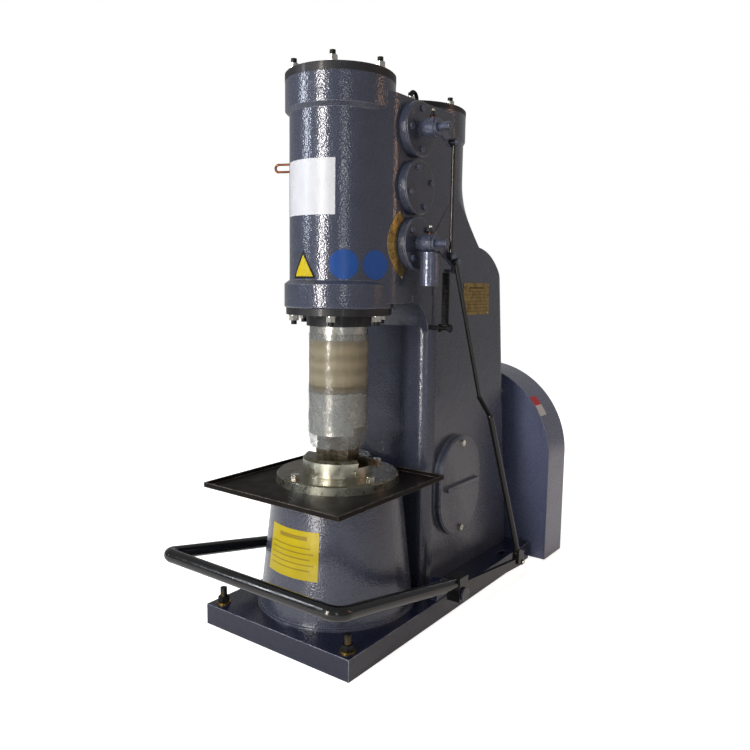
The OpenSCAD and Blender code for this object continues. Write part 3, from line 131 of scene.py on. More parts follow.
def ring_scale(pitch_mm: float) -> float:
    """Gives the wave texture scale whose rings lie that many millimetres apart."""
    return 2 * math.pi / (20 * pitch_mm * MM)


def add(tree: Tree, kind: str, values: dict[Any, Any] | None = None, **settings: Any) -> Node:
    """Adds a node with its settings, its socket values and its links.

    Args:
        tree: The node tree.
        kind: The node's type name.
        values: Socket name or number to a constant, or to a (node, output) pair to link.
        **settings: Properties of the node itself.

    Returns:
        The new node.
    """
    node = tree.nodes.new(kind)
    for name, value in settings.items():
        setattr(node, name, value)
    for key, value in (values or {}).items():
        socket = node.inputs[key]
        if isinstance(value, tuple) and isinstance(value[0], Node):
            tree.links.new(value[0].outputs[value[1]], socket)
        else:
            socket.default_value = value
    return node


def new_material(name: str) -> tuple[bpy.types.Material, Tree]:
    """Makes an empty node material.

    Args:
        name: The material's name.

    Returns:
        The material and its node tree.
    """
    material = bpy.data.materials.new(name)
    material.use_nodes = True
    material.node_tree.nodes.clear()
    return material, material.node_tree


def worn_and_lit_edges(tree: Tree, tone: Node, edge: Node, bare_and_lit: str, wear_and_glint: float, chips: Node) -> Node:
    """Mixes a paler tone into a paint at its corners: worn paint, and a painted highlight along the
    edges.

    Args:
        tree: The node tree.
        tone: The mix node that gives the paint's colour.
        edge: The bevel node whose normal turns away from the face near a corner.
        bare_and_lit: The colour of the corners, worn and with a painted highlight.
        wear_and_glint: How much of it shows, from 0 to 1.
        chips: A noise node that breaks the rubbed line up.

    Returns:
        The mix node that gives the finished colour.
    """
    # The corners are painted paler: worn paint, and a painted highlight along the edges
    face = add(tree, "ShaderNodeNewGeometry")
    same = add(tree, "ShaderNodeVectorMath", {0: (face, "Normal"), 1: (edge, "Normal")},
               operation="DOT_PRODUCT")
    # The cosines of 6 and 22 degrees: between them a normal goes from flat to a full corner
    corner = add(tree, "ShaderNodeMapRange", {"Value": (same, "Value"), "From Min": 0.995,
                 "From Max": 0.93, "To Min": 0.0, "To Max": 1.0})
    broken = add(tree, "ShaderNodeMapRange", {"Value": (chips, "Fac"), "From Min": 0.4,
                 "From Max": 0.6, "To Min": 0.25 * wear_and_glint, "To Max": wear_and_glint})
    share = add(tree, "ShaderNodeMath", {0: (corner, "Result"), 1: (broken, "Result")},
                operation="MULTIPLY")
    return add(tree, "ShaderNodeMix", {FACTOR: (share, "Value"), COLOUR_A: (tone, MIXED),
               COLOUR_B: linear(bare_and_lit)}, data_type="RGBA")


@dataclass(frozen=True)
class Finish:
    """A surface finish that builds its material once and hands it out again.

    No finish has the name of a packed slot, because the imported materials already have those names.
    """

    name: str

    def shader(self, tree: Tree, place: Node) -> Node:
        """Builds the nodes of the finish; each kind of finish has its own way."""
        raise NotImplementedError

    def material(self) -> bpy.types.Material:
        """Gives the finish's material.

        Returns:
            The material, built at its first use.
        """
        if self.name in bpy.data.materials:
            return bpy.data.materials[self.name]
        material, tree = new_material(self.name)
        place = add(tree, "ShaderNodeTexCoord")
        add(tree, "ShaderNodeOutputMaterial", {"Surface": (self.shader(tree, place), "BSDF")})
        return material


@dataclass(frozen=True)
class HammeredEnamel(Finish):
    """Hammered alkyd enamel sprayed on cast iron: small round dents that break up every highlight.

    Real dents are some 3 mm wide, which is about one pixel, so they are drawn twice as wide.
    """

    coat: str
    shade: str
    dent_mm: float = 6.0
    dent_depth_mm: float = 0.21
    wave_mm: float = 70.0
    wave_depth_mm: float = 0.5
    edge_mm: float = 4.0
    roughness: float = 0.27
    polished: float = 0.07
    dulled: float = 0.1
    metallic: float = 0.2
    gloss: float = 0.8
    shine: float = 0.3
    # A paler tone at the corners: worn paint, and a painted highlight along the edges
    bare_and_lit: str = "#8d93a4"
    wear_and_glint: float = 0.55
    fleck_share: float = 0.16

    def shader(self, tree: Tree, place: Node) -> Node:
        """Builds the enamel: two close tones, dents over slow waves, rounded edges painted paler as
        worn paint and painted highlight.

        Args:
            tree: The material's node tree.
            place: Its texture coordinate node.

        Returns:
            The shader node.
        """
        slow = add(tree, "ShaderNodeTexNoise", {"Vector": (place, "Object"),
                   "Scale": per_mm(self.wave_mm), "Detail": 3.0, "Roughness": 0.55})
        dents = add(tree, "ShaderNodeTexVoronoi", {"Vector": (place, "Object"),
                    "Scale": per_mm(self.dent_mm), "Smoothness": 0.6, "Randomness": 1.0},
                    feature="SMOOTH_F1")
        fleck = add(tree, "ShaderNodeTexNoise", {"Vector": (place, "Object"),
                    "Scale": per_mm(self.dent_mm * 0.5), "Detail": 2.0})
        tone = add(tree, "ShaderNodeMix", {FACTOR: (slow, "Fac"), COLOUR_A: linear(self.coat),
                   COLOUR_B: linear(self.shade)}, data_type="RGBA")
        flecked = add(tree, "ShaderNodeMix", {FACTOR: self.fleck_share, COLOUR_A: (tone, MIXED),
                      COLOUR_B: (fleck, "Color")}, data_type="RGBA", blend_type="SOFT_LIGHT")
        sheen = add(tree, "ShaderNodeMapRange", {"Value": (fleck, "Fac"), "From Min": 0.3,
                    "From Max": 0.7, "To Min": self.roughness - self.polished,
                    "To Max": self.roughness + self.dulled})
        edge = add(tree, "ShaderNodeBevel", {"Radius": self.edge_mm * MM}, samples=4)
        waves = add(tree, "ShaderNodeBump", {"Strength": 0.5, "Height": (slow, "Fac"),
                    "Distance": self.wave_depth_mm * MM * WAVE_GAIN, "Normal": (edge, "Normal")})
        skin = add(tree, "ShaderNodeBump", {"Strength": 0.8, "Height": (dents, "Distance"),
                   "Distance": self.dent_depth_mm * MM * DENT_GAIN, "Normal": (waves, "Normal")})
        # Corners painted paler: worn paint, and a painted highlight
        worn_and_lit = worn_and_lit_edges(tree, flecked, edge, self.bare_and_lit, self.wear_and_glint, slow)
        return add(tree, "ShaderNodeBsdfPrincipled", {"Base Color": (worn_and_lit, MIXED),
                   "Roughness": (sheen, "Result"), "Metallic": self.metallic,
                   "Specular IOR Level": self.shine, "Coat Weight": self.gloss,
                   "Coat Roughness": 0.08, "Normal": (skin, "Normal"),
                   "Coat Normal": (skin, "Normal")})


@dataclass(frozen=True)
class GlossPaint(Finish):
    """Brushed enamel on steel: even colour, slow brush waves, corners painted pale as worn paint and
    painted highlight.
    """

    coat: str
    shade: str
    wave_mm: float = 30.0
    wave_depth_mm: float = 1.2
    roughness: float = 0.25
    polished: float = 0.06
    dulled: float = 0.12
    gloss: float = 0.5
    shine: float = 0.5
    edge_mm: float = 1.5
    # A paler tone at the corners: worn paint, and a painted highlight along the edges
    bare_and_lit: str = "#6f6d68"
    wear_and_glint: float = 0.4

    def shader(self, tree: Tree, place: Node) -> Node:
        """Builds the paint with its brush waves and its dull patches.

        Args:
            tree: The material's node tree.
            place: Its texture coordinate node.

        Returns:
            The shader node.
        """
        cloud = add(tree, "ShaderNodeTexNoise", {"Vector": (place, "Object"),
                    "Scale": per_mm(self.wave_mm * 3), "Detail": 5.0, "Roughness": 0.6})
        brush = add(tree, "ShaderNodeTexNoise", {"Vector": (place, "Object"),
                    "Scale": per_mm(self.wave_mm), "Detail": 3.0, "Distortion": 0.6})
        tone = add(tree, "ShaderNodeMix", {FACTOR: (cloud, "Fac"), COLOUR_A: linear(self.coat),
                   COLOUR_B: linear(self.shade)}, data_type="RGBA")
        dull = add(tree, "ShaderNodeMapRange", {"Value": (cloud, "Fac"), "From Min": 0.35,
                   "From Max": 0.65, "To Min": self.roughness - self.polished,
                   "To Max": self.roughness + self.dulled})
        edge = add(tree, "ShaderNodeBevel", {"Radius": self.edge_mm * MM}, samples=4)
        skin = add(tree, "ShaderNodeBump", {"Strength": 0.35, "Height": (brush, "Fac"),
                   "Distance": self.wave_depth_mm * MM, "Normal": (edge, "Normal")})
        # Corners painted paler: worn paint, and a painted highlight
        worn_and_lit = worn_and_lit_edges(tree, tone, edge, self.bare_and_lit, self.wear_and_glint, cloud)
        return add(tree, "ShaderNodeBsdfPrincipled", {"Base Color": (worn_and_lit, MIXED),
                   "Roughness": (dull, "Result"), "Specular IOR Level": self.shine,
                   "Coat Weight": self.gloss, "Coat Roughness": 0.1,
                   "Normal": (skin, "Normal")})


@dataclass(frozen=True)
class TurnedSteel(Finish):
    """Lathe-turned steel under preserving oil: silvery flanks, brown patches, browner upper faces,
    fine rings.
    """

    bright: str
    patch_and_top_brown: str
    ring_mm: float = 3.0
    ring_depth_mm: float = 0.5
    stain_mm: float = 35.0
    roughness: float = 0.3
    polished: float = 0.08
    dulled: float = 0.14
    edge_mm: float = 1.2

    def shader(self, tree: Tree, place: Node) -> Node:
        """Builds the steel with tool rings about the ram's axis, patches of old oil, and a browner
        tone on every face that points up.

        Args:
            tree: The material's node tree.
            place: Its texture coordinate node.

        Returns:
            The shader node.
        """
        stain = add(tree, "ShaderNodeTexNoise", {"Vector": (place, "Object"),
                    "Scale": per_mm(self.stain_mm), "Detail": 6.0, "Roughness": 0.65,
                    "Distortion": 0.8})
        rings = add(tree, "ShaderNodeTexWave", {"Vector": (place, "Object"),
                    "Scale": ring_scale(self.ring_mm), "Distortion": 0.4, "Detail": 2.0},
                    wave_type="RINGS", rings_direction="Z")
        facing = add(tree, "ShaderNodeSeparateXYZ", {0: (place, "Normal")})
        # Faces that point up are made browner by their facing alone
        upward = add(tree, "ShaderNodeMapRange", {"Value": (facing, "Z"), "From Min": 0.2,
                     "From Max": 0.9, "To Min": 0.02, "To Max": 0.75})
        spread = add(tree, "ShaderNodeMath", {0: (stain, "Fac"), 1: (upward, "Result")},
                     operation="ADD")
        oil = add(tree, "ShaderNodeMapRange", {"Value": (spread, "Value"), "From Min": 0.55,
                  "From Max": 1.15, "To Min": 0.0, "To Max": 1.0})
        tone = add(tree, "ShaderNodeMix", {FACTOR: (oil, "Result"), COLOUR_A: linear(self.bright),
                   COLOUR_B: linear(self.patch_and_top_brown)}, data_type="RGBA")
        film = add(tree, "ShaderNodeMapRange", {"Value": (stain, "Fac"), "From Min": 0.35,
                   "From Max": 0.65, "To Min": self.roughness - self.polished,
                   "To Max": self.roughness + self.dulled})
        edge = add(tree, "ShaderNodeBevel", {"Radius": self.edge_mm * MM}, samples=4)
        skin = add(tree, "ShaderNodeBump", {"Strength": 0.25, "Height": (rings, "Fac"),
                   "Distance": self.ring_depth_mm * MM, "Normal": (edge, "Normal")})
        return add(tree, "ShaderNodeBsdfPrincipled", {"Base Color": (tone, MIXED),
                   "Metallic": 1.0, "Roughness": (film, "Result"), "Coat Weight": 0.4,
                   "Coat Roughness": 0.15, "Normal": (skin, "Normal")})


@dataclass(frozen=True)
class BareMetal(Finish):
    """Plated, ground, blackened or drawn metal: cloudy tone and roughness, faint grain."""

    metal: str
    stain: str
    roughness: float = 0.28
    polished: float = 0.08
    dulled: float = 0.16
    cloud_mm: float = 14.0
    grain_mm: float = 2.0
    grain_depth_mm: float = 0.3
    metallic: float = 1.0
    edge_mm: float = 0.8

    def shader(self, tree: Tree, place: Node) -> Node:
        """Builds the metal from a cloud of tarnish and a fine grain.

        Args:
            tree: The material's node tree.
            place: Its texture coordinate node.

        Returns:
            The shader node.
        """
        cloud = add(tree, "ShaderNodeTexNoise", {"Vector": (place, "Object"),
                    "Scale": per_mm(self.cloud_mm), "Detail": 5.0, "Roughness": 0.6})
        grain = add(tree, "ShaderNodeTexNoise", {"Vector": (place, "Object"),
                    "Scale": per_mm(self.grain_mm), "Detail": 2.0})
        spots = add(tree, "ShaderNodeMapRange", {"Value": (cloud, "Fac"), "From Min": 0.42,
                    "From Max": 0.66, "To Min": 0.0, "To Max": 0.8})
        tone = add(tree, "ShaderNodeMix", {FACTOR: (spots, "Result"), COLOUR_A: linear(self.metal),
                   COLOUR_B: linear(self.stain)}, data_type="RGBA")
        polish = add(tree, "ShaderNodeMapRange", {"Value": (cloud, "Fac"), "From Min": 0.3,
                     "From Max": 0.7, "To Min": self.roughness - self.polished,
                     "To Max": self.roughness + self.dulled})
        edge = add(tree, "ShaderNodeBevel", {"Radius": self.edge_mm * MM}, samples=4)
        skin = add(tree, "ShaderNodeBump", {"Strength": 0.3, "Height": (grain, "Fac"),
                   "Distance": self.grain_depth_mm * MM, "Normal": (edge, "Normal")})
        return add(tree, "ShaderNodeBsdfPrincipled", {"Base Color": (tone, MIXED),
                   "Metallic": self.metallic, "Roughness": (polish, "Result"),
                   "Normal": (skin, "Normal")})


@dataclass(frozen=True)
class StretchTape(Finish):
    """Layers of paper tape wound under film: cloudy fawn, darker ridges where a turn ends."""

    paper: str
    ridge: str
    turn_mm: float = 48.0
    crease_mm: float = 16.0
    crease_depth_mm: float = 0.9
    roughness: float = 0.34

    def shader(self, tree: Tree, place: Node) -> Node:
        """Builds the tape from level turns and upright creases.

        Args:
            tree: The material's node tree.
            place: Its texture coordinate node.

        Returns:
            The shader node.
        """
        stretch = add(tree, "ShaderNodeMapping", {"Vector": (place, "Object"),
                      "Scale": (1.0, 1.0, 0.35)})
        crease = add(tree, "ShaderNodeTexNoise", {"Vector": (stretch, "Vector"),
                     "Scale": per_mm(self.crease_mm), "Detail": 5.0, "Roughness": 0.7,
                     "Distortion": 0.5}, noise_type="RIDGED_MULTIFRACTAL")
        blotch = add(tree, "ShaderNodeTexNoise", {"Vector": (place, "Object"),
                     "Scale": per_mm(self.turn_mm), "Detail": 6.0, "Roughness": 0.7})
        turns = add(tree, "ShaderNodeTexWave", {"Vector": (place, "Object"),
                    "Scale": ring_scale(self.turn_mm), "Distortion": 3.0, "Detail": 3.0},
                    wave_type="BANDS", bands_direction="Z")
        patch = add(tree, "ShaderNodeMath", {0: (blotch, "Fac"), 1: (turns, "Fac")},
                    operation="MULTIPLY")
        tone = add(tree, "ShaderNodeMix", {FACTOR: (patch, "Value"), COLOUR_A: linear(self.paper),
                   COLOUR_B: linear(self.ridge)}, data_type="RGBA")
        skin = add(tree, "ShaderNodeBump", {"Strength": 0.7, "Height": (crease, "Fac"),
                   "Distance": self.crease_depth_mm * MM})
        return add(tree, "ShaderNodeBsdfPrincipled", {"Base Color": (tone, MIXED),
                   "Roughness": self.roughness, "Coat Weight": 0.7,
                   "Coat Roughness": 0.18, "Normal": (skin, "Normal")})


@dataclass(frozen=True)
class CrumpledFilm(Finish):
    """Polyethylene film, crumpled: milky where it folds, nearly clear where it lies flat, with
    painted shade in its creases.
    """

    milk: str
    # The colour of the painted shade along the creases
    crease: str
    fold_mm: float = 26.0
    fold_depth_mm: float = 3.0
    clear_from_mm: float = 880.0
    clear_to_mm: float = 1030.0
    fade_mm: float = 30.0
    rim_mm: float = 14.0
    roughness: float = 0.22

    def shader(self, tree: Tree, place: Node) -> Node:
        """Builds the film: ridged creases set its milkiness and a painted shade along them, and it
        clears over the tape.

        Args:
            tree: The material's node tree.
            place: Its texture coordinate node.

        Returns:
            The shader node.
        """
        fold = add(tree, "ShaderNodeTexNoise", {"Vector": (place, "Object"),
                   "Scale": per_mm(self.fold_mm), "Detail": 5.0, "Roughness": 0.75,
                   "Distortion": 1.1}, noise_type="RIDGED_MULTIFRACTAL")
        cloud = add(tree, "ShaderNodeTexNoise", {"Vector": (place, "Object"),
                    "Scale": per_mm(self.fold_mm * 2.5), "Detail": 4.0})
        height = add(tree, "ShaderNodeSeparateXYZ", {0: (place, "Object")})
        over_tape = add(tree, "ShaderNodeMapRange", {"Value": (height, "Z"),
                        "From Min": (self.clear_from_mm - self.fade_mm) * MM,
                        "From Max": self.clear_from_mm * MM, "To Min": 1.0, "To Max": 0.12})
        at_top = add(tree, "ShaderNodeMapRange", {"Value": (height, "Z"),
                     "From Min": self.clear_to_mm * MM,
                     "From Max": (self.clear_to_mm + self.rim_mm) * MM, "To Min": 0.0, "To Max": 0.8})
        where = add(tree, "ShaderNodeMath", {0: (over_tape, "Result"), 1: (at_top, "Result")},
                    operation="MAXIMUM")
        milky = add(tree, "ShaderNodeMapRange", {"Value": (cloud, "Fac"), "From Min": 0.3,
                    "From Max": 0.68, "To Min": 0.22, "To Max": 0.8})
        alpha = add(tree, "ShaderNodeMath", {0: (milky, "Result"), 1: (where, "Value")},
                    operation="MULTIPLY")
        skin = add(tree, "ShaderNodeBump", {"Strength": 1.0, "Height": (fold, "Fac"),
                   "Distance": self.fold_depth_mm * MM})
        # Painted shade: the film is darkened along its creases
        dark = add(tree, "ShaderNodeMapRange", {"Value": (fold, "Fac"), "From Min": 0.5,
                   "From Max": 1.1, "To Min": 0.0, "To Max": 1.0})
        tone = add(tree, "ShaderNodeMix", {FACTOR: (dark, "Result"), COLOUR_A: linear(self.milk),
                   COLOUR_B: linear(self.crease)}, data_type="RGBA")
        return add(tree, "ShaderNodeBsdfPrincipled", {"Base Color": (tone, MIXED),
                   "Roughness": self.roughness, "Alpha": (alpha, "Value"),
                   "Coat Weight": 0.4, "Coat Roughness": 0.1, "Normal": (skin, "Normal")})


@dataclass(frozen=True)
class PrintedVinyl(Finish):
    """Glossy printed vinyl stuck on paint: one plain colour with slight fading and lifted bubbles."""

    ink: str
    faded: str
    patch_mm: float = 60.0
    bubble_mm: float = 12.0
    bubble_depth_mm: float = 0.5
    roughness: float = 0.32

    def shader(self, tree: Tree, place: Node) -> Node:
        """Builds the vinyl with faded patches and small bubbles.

        Args:
            tree: The material's node tree.
            place: Its texture coordinate node.

        Returns:
            The shader node.
        """
        fade = add(tree, "ShaderNodeTexNoise", {"Vector": (place, "Object"),
                   "Scale": per_mm(self.patch_mm), "Detail": 4.0})
        bubble = add(tree, "ShaderNodeTexNoise", {"Vector": (place, "Object"),
                     "Scale": per_mm(self.bubble_mm), "Detail": 2.0})
        tone = add(tree, "ShaderNodeMix", {FACTOR: (fade, "Fac"), COLOUR_A: linear(self.ink),
                   COLOUR_B: linear(self.faded)}, data_type="RGBA")
        skin = add(tree, "ShaderNodeBump", {"Strength": 0.3, "Height": (bubble, "Fac"),
                   "Distance": self.bubble_depth_mm * MM})
        return add(tree, "ShaderNodeBsdfPrincipled", {"Base Color": (tone, MIXED),
                   "Roughness": self.roughness, "Specular IOR Level": 0.3,
                   "Normal": (skin, "Normal")})


# Blue-grey hammered enamel on iron castings: it breaks every highlight into sparks
GREY_BLUE = HammeredEnamel("hammered_enamel_grey_blue", "#3c4152", "#313645")
# The same enamel on small turned parts: paler, with more flake in it
LEVER_ENAMEL = HammeredEnamel("hammered_enamel_levers", "#565c70", "#454b60", wave_mm=40.0,
                              edge_mm=2.0, metallic=0.5)
# Dark blue enamel on the thick base plate: flatter, and paler along its edges, worn paint with a
# painted highlight
NAVY = HammeredEnamel("hammered_enamel_navy", "#151a30", "#0f1325", edge_mm=5.0, roughness=0.26,
                      dent_depth_mm=0.1, metallic=0.05, gloss=0.5, wear_and_glint=1.0)
# Enamel on rolled sheet steel: the sheet's slow waves show more than the dents. Its tones are painted
# paler than the castings' enamel, as painted light
GUARD = HammeredEnamel("sheet_enamel", "#5c6380", "#505772", dent_mm=7.0, dent_depth_mm=0.12,
                       wave_mm=220.0, wave_depth_mm=0.9, edge_mm=3.0)
# Brushed dark paint on machined covers: dull
DARK_FACE = GlossPaint("cover_paint_dark", "#17181b", "#212126", roughness=0.4, gloss=0.1, shine=0.3)
# Gloss black on rods and pipe: one narrow highlight along them
BLACK_PAINT = GlossPaint("gloss_black_paint", "#0b0c0d", "#131416", roughness=0.14, gloss=0.0,
                         wear_and_glint=0.2)
# Brushed black on thin plate: matt, and steel-pale along its rim, worn paint with a painted highlight
TRAY_PAINT = GlossPaint("tray_black_brushed", "#100f0f", "#1a1715", roughness=0.42, gloss=0.0,
                        shine=0.06, edge_mm=2.5, bare_and_lit="#a8a49a", wear_and_glint=0.8)
# Moulded rubber belts: even, black and dull
RUBBER = GlossPaint("rubber_belt_moulded", "#101010", "#1b1b1a", roughness=0.7, gloss=0.0, wear_and_glint=0.0)
# Turned steel under preserving oil: silver flanks, brown in patches and on faces that point up
OILED_STEEL = TurnedSteel("turned_steel_oiled", "#cfd1c2", "#564b2c")
# Tempered tool steel: a thin brown scale
DIE_STEEL = BareMetal("tempered_die_steel", "#6a6355", "#2b2722", roughness=0.4)
# Ground shafts and pins: even and bright
GROUND_STEEL = BareMetal("steel_ground_bright", "#c4c4c0", "#98958a", roughness=0.22)
# Zinc plating: pale, a little warm, softly clouded
ZINC = BareMetal("bright_zinc", "#dcdad2", "#a09c8c", roughness=0.24)
# Zinc under yellow chromate: brassy, with brown clouds
YELLOW_ZINC = BareMetal("yellow_zinc", "#a88c4e", "#5e4c26", roughness=0.34)
# Oil-blackened steel: nearly black with a soft metal sheen
BLACK_STEEL = BareMetal("blackened_steel", "#232326", "#101012", roughness=0.38, metallic=0.7)
# Machined cast iron: plain grey
BARE_IRON = BareMetal("machined_cast_iron", "#7b7b78", "#55524c", roughness=0.42)
# Rolled brass gone dull: wide brown clouds
BRASS = BareMetal("dull_brass", "#a18c58", "#665636", roughness=0.4, cloud_mm=22.0)
# Lines etched in brass and filled dark
ETCHED_LINE = BareMetal("etched_line", "#4a3a1c", "#2e2412", roughness=0.6)
# Drawn copper tube, browned
COPPER = BareMetal("copper_tube", "#74422c", "#3e2318", roughness=0.3)
# Fawn paper tape wound in wide turns
PAPER_TAPE = StretchTape("paper_tape_fawn", "#7f7862", "#51492f")
# The tape's narrow lower edge, soaked brown with oil
BROWN_TAPE = StretchTape("paper_tape_brown", "#564c33", "#332b17", turn_mm=14.0, crease_mm=7.0)
# Clear polyethylene film, crumpled, with painted shade in its creases
CLEAR_FILM = CrumpledFilm("polyethylene_film", "#787d7e", "#3a3e3f")
# Printed vinyl in plain colours, and the ink of its ruled lines
WHITE_VINYL = PrintedVinyl("vinyl_white", "#bfc2c8", "#b0b4bc")
YELLOW_VINYL = PrintedVinyl("vinyl_yellow", "#b5a40c", "#a08f0a")
BLUE_VINYL = PrintedVinyl("vinyl_blue", "#173a78", "#1f4788")
RED_VINYL = PrintedVinyl("vinyl_red", "#b3262c", "#a32026")
RULE_INK = PrintedVinyl("printed_rules", "#8c7a1c", "#7c6a18")

SLOT_FINISH: dict[Slot, Finish] = {
    Slot.ENAMEL: GREY_BLUE, Slot.BASE: NAVY, Slot.GUARD: GUARD, Slot.BLACK_PAINT: BLACK_PAINT,
    Slot.TRAY: TRAY_PAINT, Slot.MACHINED: OILED_STEEL, Slot.DIE: DIE_STEEL,
    Slot.GROUND: GROUND_STEEL, Slot.ZINC: ZINC, Slot.BLACK_STEEL: BLACK_STEEL,
    Slot.IRON: BARE_IRON, Slot.BRASS: BRASS, Slot.COPPER: COPPER, Slot.RUBBER: RUBBER,
    Slot.TAPE: PAPER_TAPE, Slot.FILM: CLEAR_FILM,
}
# Solids that don't have the finish of their slot
NODE_FINISH: dict[str, Finish] = {
    "handle_socket": LEVER_ENAMEL, "upper_lever": LEVER_ENAMEL, "lower_lever": LEVER_ENAMEL,
    "upper_valve": LEVER_ENAMEL, "lower_valve": LEVER_ENAMEL, "gland_flange": DARK_FACE,
    "rear_cover": DARK_FACE, "front_cover": DARK_FACE,
}


def linked(mesh: Shape, name: str) -> Piece:
    """Turns a bmesh into an object of the scene.

    Args:
        mesh: The shape, in metres in the shared frame; it is freed here.
        name: The object's name.

    Returns:
        The object, at the origin and without a material.
    """
    data = bpy.data.meshes.new(name)
    mesh.to_mesh(data)
    mesh.free()
    piece = bpy.data.objects.new(name, data)
    bpy.context.scene.collection.objects.link(piece)
    return piece


def finished(mesh: Shape, name: str, finish: Finish, body: Body,
             smooth: bool = True) -> Piece:
    """Turns a bmesh into a piece of the machine.

    Args:
        mesh: The shape, in metres in the shared frame; it is freed here.
        name: The piece's name.
        finish: Its finish.
        body: The body that it rides on.
        smooth: Whether its faces are shaded smooth up to the sharpest angle.

    Returns:
        The piece.
    """
    piece = linked(mesh, name)
    piece.data.materials.append(finish.material())
    if smooth:
        piece.data.shade_smooth()
        piece.data.set_sharp_from_angle(angle=SHARP_FROM)
    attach(piece, body.value)
    return piece


def closed_outward(mesh: Shape) -> None:
    """Merges a shape's doubles and turns its faces outwards."""
    bmesh.ops.remove_doubles(mesh, verts=mesh.verts[:], dist=MERGE_GAP)
    bmesh.ops.recalc_face_normals(mesh, faces=mesh.faces[:])


def turned(profile: list[Span], steps: int = 96) -> Shape:
    """Spins a profile round the Z axis.

    Args:
        profile: Points as (radius, height) in millimetres, in order.
        steps: Number of steps in the full turn.

    Returns:
        The turned shape, open where the profile is open.
    """
    mesh = bmesh.new()
    verts = [mesh.verts.new((r * MM, 0, z * MM)) for r, z in profile]
    edges = [mesh.edges.new(pair) for pair in zip(verts, verts[1:])]
    bmesh.ops.spin(mesh, geom=verts + edges, cent=(0, 0, 0), axis=(0, 0, 1),
                   angle=math.tau, steps=steps, use_merge=True)
    closed_outward(mesh)
    return mesh


def prism(sides: int, r: float, high: float, rounding: float) -> Shape:
    """Makes an upright prism with rounded edges about the origin.

    Args:
        sides: Number of its sides.
        r: Its radius over the corners in millimetres.
        high: Its height in millimetres.
        rounding: The width of its rounded edges in millimetres.

    Returns:
        The prism.
    """
    mesh = bmesh.new()
    bmesh.ops.create_cone(mesh, cap_ends=True, segments=sides, radius1=r * MM, radius2=r * MM,
                          depth=high * MM)
    bmesh.ops.bevel(mesh, geom=mesh.edges[:], offset=rounding * MM, affect="EDGES", segments=2,
                    profile=0.5, material=-1)
    return mesh


def between(span: Span, share: float) -> float:
    """Gives the value at a share of the way through a span."""
    return span[0] + (span[1] - span[0]) * share


@dataclass(frozen=True)
class Lamp:
    """A soft rectangular lamp that looks at the machine.

    Its azimuth is in degrees from +X about the ram's axis, its reach, height and size are in metres
    and its power is in watts. Glossy surfaces show its reflection only where it is mirrored.
    """

    name: str
    azimuth: float
    reach: float
    height: float
    size: Span
    power: float
    tint: str = "#ffffff"
    mirrored: bool = True

    def hang(self, target: Vector) -> None:
        """Hangs the lamp.

        Args:
            target: The point that it looks at, in metres.
        """
        data = bpy.data.lights.new(self.name, "AREA")
        data.shape = "RECTANGLE"
        data.size, data.size_y = self.size
        data.energy, data.color = self.power, linear(self.tint)[:3]
        lamp = bpy.data.objects.new(self.name, data)
        lamp.visible_glossy = self.mirrored
        lamp.visible_camera = False
        bpy.context.scene.collection.objects.link(lamp)
        angle = math.radians(self.azimuth)
        at = Vector((self.reach * math.cos(angle), self.reach * math.sin(angle), self.height))
        turn = (target - at).to_track_quat("-Z", "Y").to_matrix().to_4x4()
        lamp.matrix_world = Matrix.Translation(at) @ turn


# The strips draw the bright lines on the barrel, the fills lift the sides and the rear, and the
# overhead lamp lights what faces up
LAMPS = (
    Lamp("front_strip", azimuth=-90, reach=4.2, height=1.9, size=(0.5, 2.6), power=158,
         tint="#fff8f0"),
    Lamp("low_strip", azimuth=-84, reach=1.8, height=0.2, size=(0.42, 0.34), power=5,
         tint="#fff8f0"),
    Lamp("left_strip", azimuth=-130, reach=4.4, height=2.6, size=(0.5, 1.8), power=52,
         tint="#f2f6ff"),
    Lamp("right_strip", azimuth=-42, reach=4.8, height=1.9, size=(0.35, 2.2), power=16),
    Lamp("left_fill", azimuth=205, reach=4.6, height=2.0, size=(2.2, 2.2), power=26,
         tint="#e8eeff", mirrored=False),
    Lamp("right_fill", azimuth=18, reach=5.0, height=2.0, size=(2.0, 2.2), power=40,
         tint="#ffd0a2", mirrored=False),
    Lamp("rear_fill", azimuth=110, reach=5.0, height=2.2, size=(2.2, 2.2), power=50,
         tint="#f4f2ee", mirrored=False),
    Lamp("right_gleam", azimuth=36, reach=4.6, height=2.2, size=(0.5, 1.6), power=14,
         tint="#ffc49c"),
    Lamp("overhead", azimuth=270, reach=1.2, height=4.6, size=(2.6, 2.6), power=70,
         mirrored=False),
)


